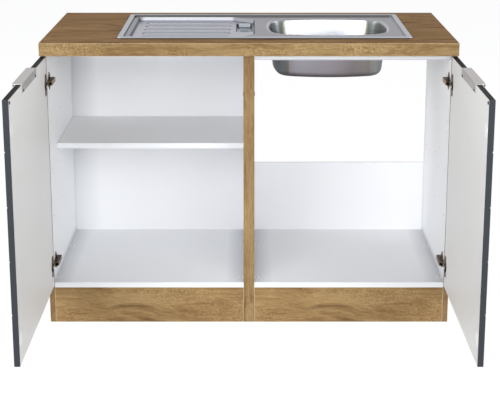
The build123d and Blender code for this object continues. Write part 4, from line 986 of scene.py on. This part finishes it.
def in_sockets(normals, centres):
    """The wall and the floor of the socket in each housing."""
    x, y, z = centres.T
    inside = np.zeros(len(centres), dtype=bool)
    for low, high in solids_of("connector_housings"):
        middle, radius = (low + high) / 2, (high.y - low.y) / 2
        near_joint = abs(middle.x) < bay_middle
        inward = 1 if near_joint == (middle.x > 0) else -1
        axis = (high.x if inward > 0 else low.x) - inward * radius
        inside |= np.hypot(x - axis, y - middle.y) < socket_radius + 0.0002
    return inside & (z > bottom_high.z - socket_depth - 0.001)


print("socket faces:", dress_where("connector_housings", socket_shade, in_sockets))

# %% [markdown]
# ## Screws
# The screws have a low tapered head with a cross recess. One Geometry Nodes tree makes them all: a short
# cone, less two crossed bars, on a shank. It puts a copy on every point of a small mesh and turns it to
# the way that point faces. The points come from the CAD screws, so each new screw sits in the hole of the
# old one. The tree's Geometry input comes first, because a modifier hands its mesh to the first input.

# %% Sockets of the tree that makes the screws
screw_sizes = {"Head Radius": 0.0038, "Head Height": 0.0016, "Recess Length": 0.0046,
               "Recess Width": 0.0009, "Recess Depth": 0.0010, "Shank Radius": 0.0020,
               "Shank Length": 0.0110}
screws_tree = bpy.data.node_groups.new("cross recess screws", "GeometryNodeTree")
screws_tree.interface.new_socket("Geometry", in_out="INPUT", socket_type="NodeSocketGeometry")
for title, size in screw_sizes.items():
    socket = screws_tree.interface.new_socket(title, in_out="INPUT", socket_type="NodeSocketFloat")
    socket.default_value = size
screws_tree.interface.new_socket("Metal", in_out="INPUT", socket_type="NodeSocketMaterial")
screws_tree.interface.new_socket("Geometry", in_out="OUTPUT", socket_type="NodeSocketGeometry")
given = screws_tree.nodes.new("NodeGroupInput").outputs
result = screws_tree.nodes.new("NodeGroupOutput").inputs
print("a screw has", len(screw_sizes), "sizes")

# %% [markdown]
# A screw is modelled with the top of its head at 0 and its shank downwards. A boolean cuts both bars out
# of the head at once.


# %% Head with a cross recess
def lift(geometry, height):
    """Moves a shape along its own Z."""
    place = add(screws_tree, "ShaderNodeCombineXYZ", {2: height}).outputs[0]
    sockets = {"Geometry": geometry, "Translation": place}
    return add(screws_tree, "GeometryNodeTransform", sockets).outputs[0]


def recess_bar(length, width):
    """A bar that cuts one stroke of the cross, as deep below the head's top as above it."""
    depth = times(screws_tree, given["Recess Depth"], 2.0)
    size = add(screws_tree, "ShaderNodeCombineXYZ", {0: length, 1: width, 2: depth}).outputs[0]
    return add(screws_tree, "GeometryNodeMeshCube", {"Size": size}).outputs[0]


top_radius = times(screws_tree, given["Head Radius"], 0.72)
head = add(screws_tree, "GeometryNodeMeshCone", {"Vertices": 20, "Radius Top": top_radius,
                                                 "Radius Bottom": given["Head Radius"],
                                                 "Depth": given["Head Height"]}).outputs[0]
head = lift(head, times(screws_tree, given["Head Height"], -1.0))
cut = add(screws_tree, "GeometryNodeMeshBoolean", {0: head}, operation="DIFFERENCE", solver="EXACT")
for bar in (recess_bar(given["Recess Length"], given["Recess Width"]),
            recess_bar(given["Recess Width"], given["Recess Length"])):
    screws_tree.links.new(bar, cut.inputs[1])
print("a head takes", len(screws_tree.nodes), "nodes")

# %% Shank, and a copy of the screw on every point
shank = add(screws_tree, "GeometryNodeMeshCylinder", {"Vertices": 12, "Radius": given["Shank Radius"],
                                                      "Depth": given["Shank Length"]}).outputs[0]
under = plus(screws_tree, given["Head Height"], times(screws_tree, given["Shank Length"], 0.5))
shank = lift(shank, times(screws_tree, under, -1.0))
whole = add(screws_tree, "GeometryNodeJoinGeometry")
for part in (cut.outputs[0], shank):
    screws_tree.links.new(part, whole.inputs[0])
way = add(screws_tree, "GeometryNodeInputNamedAttribute", {"Name": "facing"}, data_type="FLOAT_VECTOR")
turn = add(screws_tree, "FunctionNodeAlignRotationToVector", {"Vector": way.outputs[0]}, axis="Z")
placed = add(screws_tree, "GeometryNodeInstanceOnPoints",
             {"Points": given["Geometry"], "Instance": whole.outputs[0], "Rotation": turn.outputs[0]})
real = add(screws_tree, "GeometryNodeRealizeInstances", {"Geometry": placed.outputs[0]})
coloured = add(screws_tree, "GeometryNodeSetMaterial", {"Geometry": real.outputs[0],
                                                        "Material": given["Metal"]})
screws_tree.links.new(coloured.outputs[0], result["Geometry"])
print("screw tree:", len(screws_tree.nodes), "nodes")

# %% [markdown]
# The tree runs as a modifier on a mesh of bare points. A modifier's inputs are set by the identifier of
# each socket, and the finished shape is read back as a plain mesh, because the modifier doesn't stay.


# %% Run the tree and keep plain meshes
def head_points(node, facing):
    """The middle of each screw's outer face, on the side that it faces."""
    points = []
    for low, high in solids_of(node):
        middle, half = (low + high) / 2, (high - low) / 2
        points.append(middle + Vector(f * h for f, h in zip(facing, half)))
    return points


def made_by(tree, name, points, facing, values):
    """Runs a tree on points that all face one way, and keeps the result as a plain mesh."""
    seed = bpy.data.meshes.new(name + " points")
    seed.from_pydata([tuple(p) for p in points], [], [])
    ways = seed.attributes.new("facing", "FLOAT_VECTOR", "POINT")
    ways.data.foreach_set("vector", list(facing) * len(points))
    piece = bpy.data.objects.new(name, seed)
    bpy.context.scene.collection.objects.link(piece)
    modifier = piece.modifiers.new("tree", "NODES")
    modifier.node_group = tree
    sockets = {item.name: item.identifier for item in tree.interface.items_tree
               if item.item_type == "SOCKET" and item.in_out == "INPUT"}
    for title, value in values.items():
        modifier[sockets[title]] = value
    bpy.context.view_layer.update()
    graph = bpy.context.evaluated_depsgraph_get()
    mesh = bpy.data.meshes.new_from_object(piece.evaluated_get(graph), depsgraph=graph)
    piece.modifiers.clear()
    piece.data = mesh
    mesh.name = name
    return piece


print("a cup screw's head:", [round(v, 4) for v in head_points("cup_screws_left", (1, 0, 0))[0]])

# %% [markdown]
# The screws of the cups and the handles show their heads on the inner face of a door and swing with
# it. Those of the mounting plates stay with the cabinet, and the long ones under the worktop are driven
# in from below.


# %% Put the screws in
def screws(node, body, facing, metal, sizes=None):
    """Replaces the CAD screws of one node by detailed ones."""
    values = {"Metal": metal, **(sizes or {})}
    piece = made_by(screws_tree, "cross_" + node, head_points(node, facing), facing, values)
    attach(piece, body)
    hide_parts(node)
    print(node, len(piece.data.polygons), "faces")


for side, inward in (("left", 1), ("right", -1)):
    screws("cup_screws_" + side, "door_" + side, (inward, 0, 0), nickel)
    screws("handle_screws_" + side, "door_" + side, (inward, 0, 0), dark_zinc)
    screws("plate_screws_" + side, "cabinet", (inward, 0, 0), nickel)
long_low, long_high = solids_of("worktop_screws")[0]
long_shank = long_high.z - long_low.z - screw_sizes["Head Height"]
screws("worktop_screws", "cabinet", (0, 0, -1), zinc, {"Shank Length": long_shank})

# %% [markdown]
# ## Light
# A catalogue photograph is lit by large soft boxes in a white room. The world gives the white room. What
# the camera sees directly, or in the steel, is plain white, but the light that the room sheds is weaker,
# so that the soft boxes still model the unit.


# %% World
def seen_directly(tree):
    """1 for what the camera sees by itself, in a mirror or through glass, and 0 for scattered light."""
    ray = add(tree, "ShaderNodeLightPath").outputs
    mirrored = maths(tree, "MAXIMUM", ray["Is Glossy Ray"], ray["Is Transmission Ray"])
    return maths(tree, "MAXIMUM", ray["Is Camera Ray"], mirrored)


world = bpy.data.worlds.new("white room")
bpy.context.scene.world = world
world.use_nodes = True
tree = world.node_tree
tree.nodes.clear()
room = add(tree, "ShaderNodeBackground", {"Color": (0.92, 0.96, 1.0, 1.0), "Strength": 0.27})
white = add(tree, "ShaderNodeBackground", {"Color": plain_white, "Strength": 1.0})
either = {0: seen_directly(tree), 1: room.outputs[0], 2: white.outputs[0]}
both = add(tree, "ShaderNodeMixShader", either)
add(tree, "ShaderNodeOutputWorld", {"Surface": both.outputs[0]})
print("world ready")

# %% [markdown]
# Two boxes stand to the left and the right of the camera and light the insides of the open doors, a low
# one far in front reaches into the cabinets, and a high one lights the worktop and the shelf. Two fills
# stand beside the unit, for its outer sides.


# %% Soft boxes
def soft_box(name, place, target, width, height, power):
    """A rectangular area lamp that faces a point."""
    lamp = bpy.data.lights.new(name, "AREA")
    lamp.shape = "RECTANGLE"
    lamp.size = width
    lamp.size_y = height
    lamp.energy = power
    box = bpy.data.objects.new(name, lamp)
    box.location = place
    box.rotation_euler = (Vector(target) - Vector(place)).to_track_quat("-Z", "Y").to_euler()
    bpy.context.scene.collection.objects.link(box)


unit_middle = (0, 0, 0.45)
soft_box("left box", (-2.7, -5.0, 1.9), unit_middle, 2.6, 2.4, 162)
soft_box("right box", (2.7, -5.0, 1.9), unit_middle, 2.6, 2.4, 128)
soft_box("low box", (0, -6.5, 1.2), unit_middle, 4.0, 1.6, 60)
soft_box("high box", (0, -5.5, 3.2), unit_middle, 3.0, 2.0, 50)
soft_box("left fill", (-4.6, 1.2, 1.3), (-0.6, 0, 0.45), 2.2, 2.0, 60)
soft_box("right fill", (4.6, 1.2, 1.3), (0.6, 0, 0.45), 2.2, 2.0, 60)

# %% [markdown]
# The floor is a plain pale sheet. To the camera it adds white of its own, so it melts into the white
# background, but part of it still answers to the lamps: that part keeps the unit's soft shadow.

# %% Floor
reach = 14.0
glowing_share = 0.80
corners = [(-reach, -reach, 0), (reach, -reach, 0), (reach, reach, 0), (-reach, reach, 0)]
floor_mesh = bpy.data.meshes.new("floor")
floor_mesh.from_pydata(corners, [], [(0, 1, 2, 3)])
floor = bpy.data.objects.new("floor", floor_mesh)
bpy.context.scene.collection.objects.link(floor)
pale_floor = bpy.data.materials.new("pale floor")
pale_floor.use_nodes = True
tree = pale_floor.node_tree
tree.nodes.clear()
paint = add(tree, "ShaderNodeBsdfDiffuse", {"Color": rgb(240, 240, 240)})
glow = add(tree, "ShaderNodeEmission", {"Color": plain_white, "Strength": 1.15})
share = times(tree, seen_directly(tree), glowing_share)
both = add(tree, "ShaderNodeMixShader", {0: share, 1: paint.outputs[0], 2: glow.outputs[0]})
add(tree, "ShaderNodeOutputMaterial", {"Surface": both.outputs[0]})
floor_mesh.materials.append(pale_floor)
print("floor reaches", reach, "m each way")
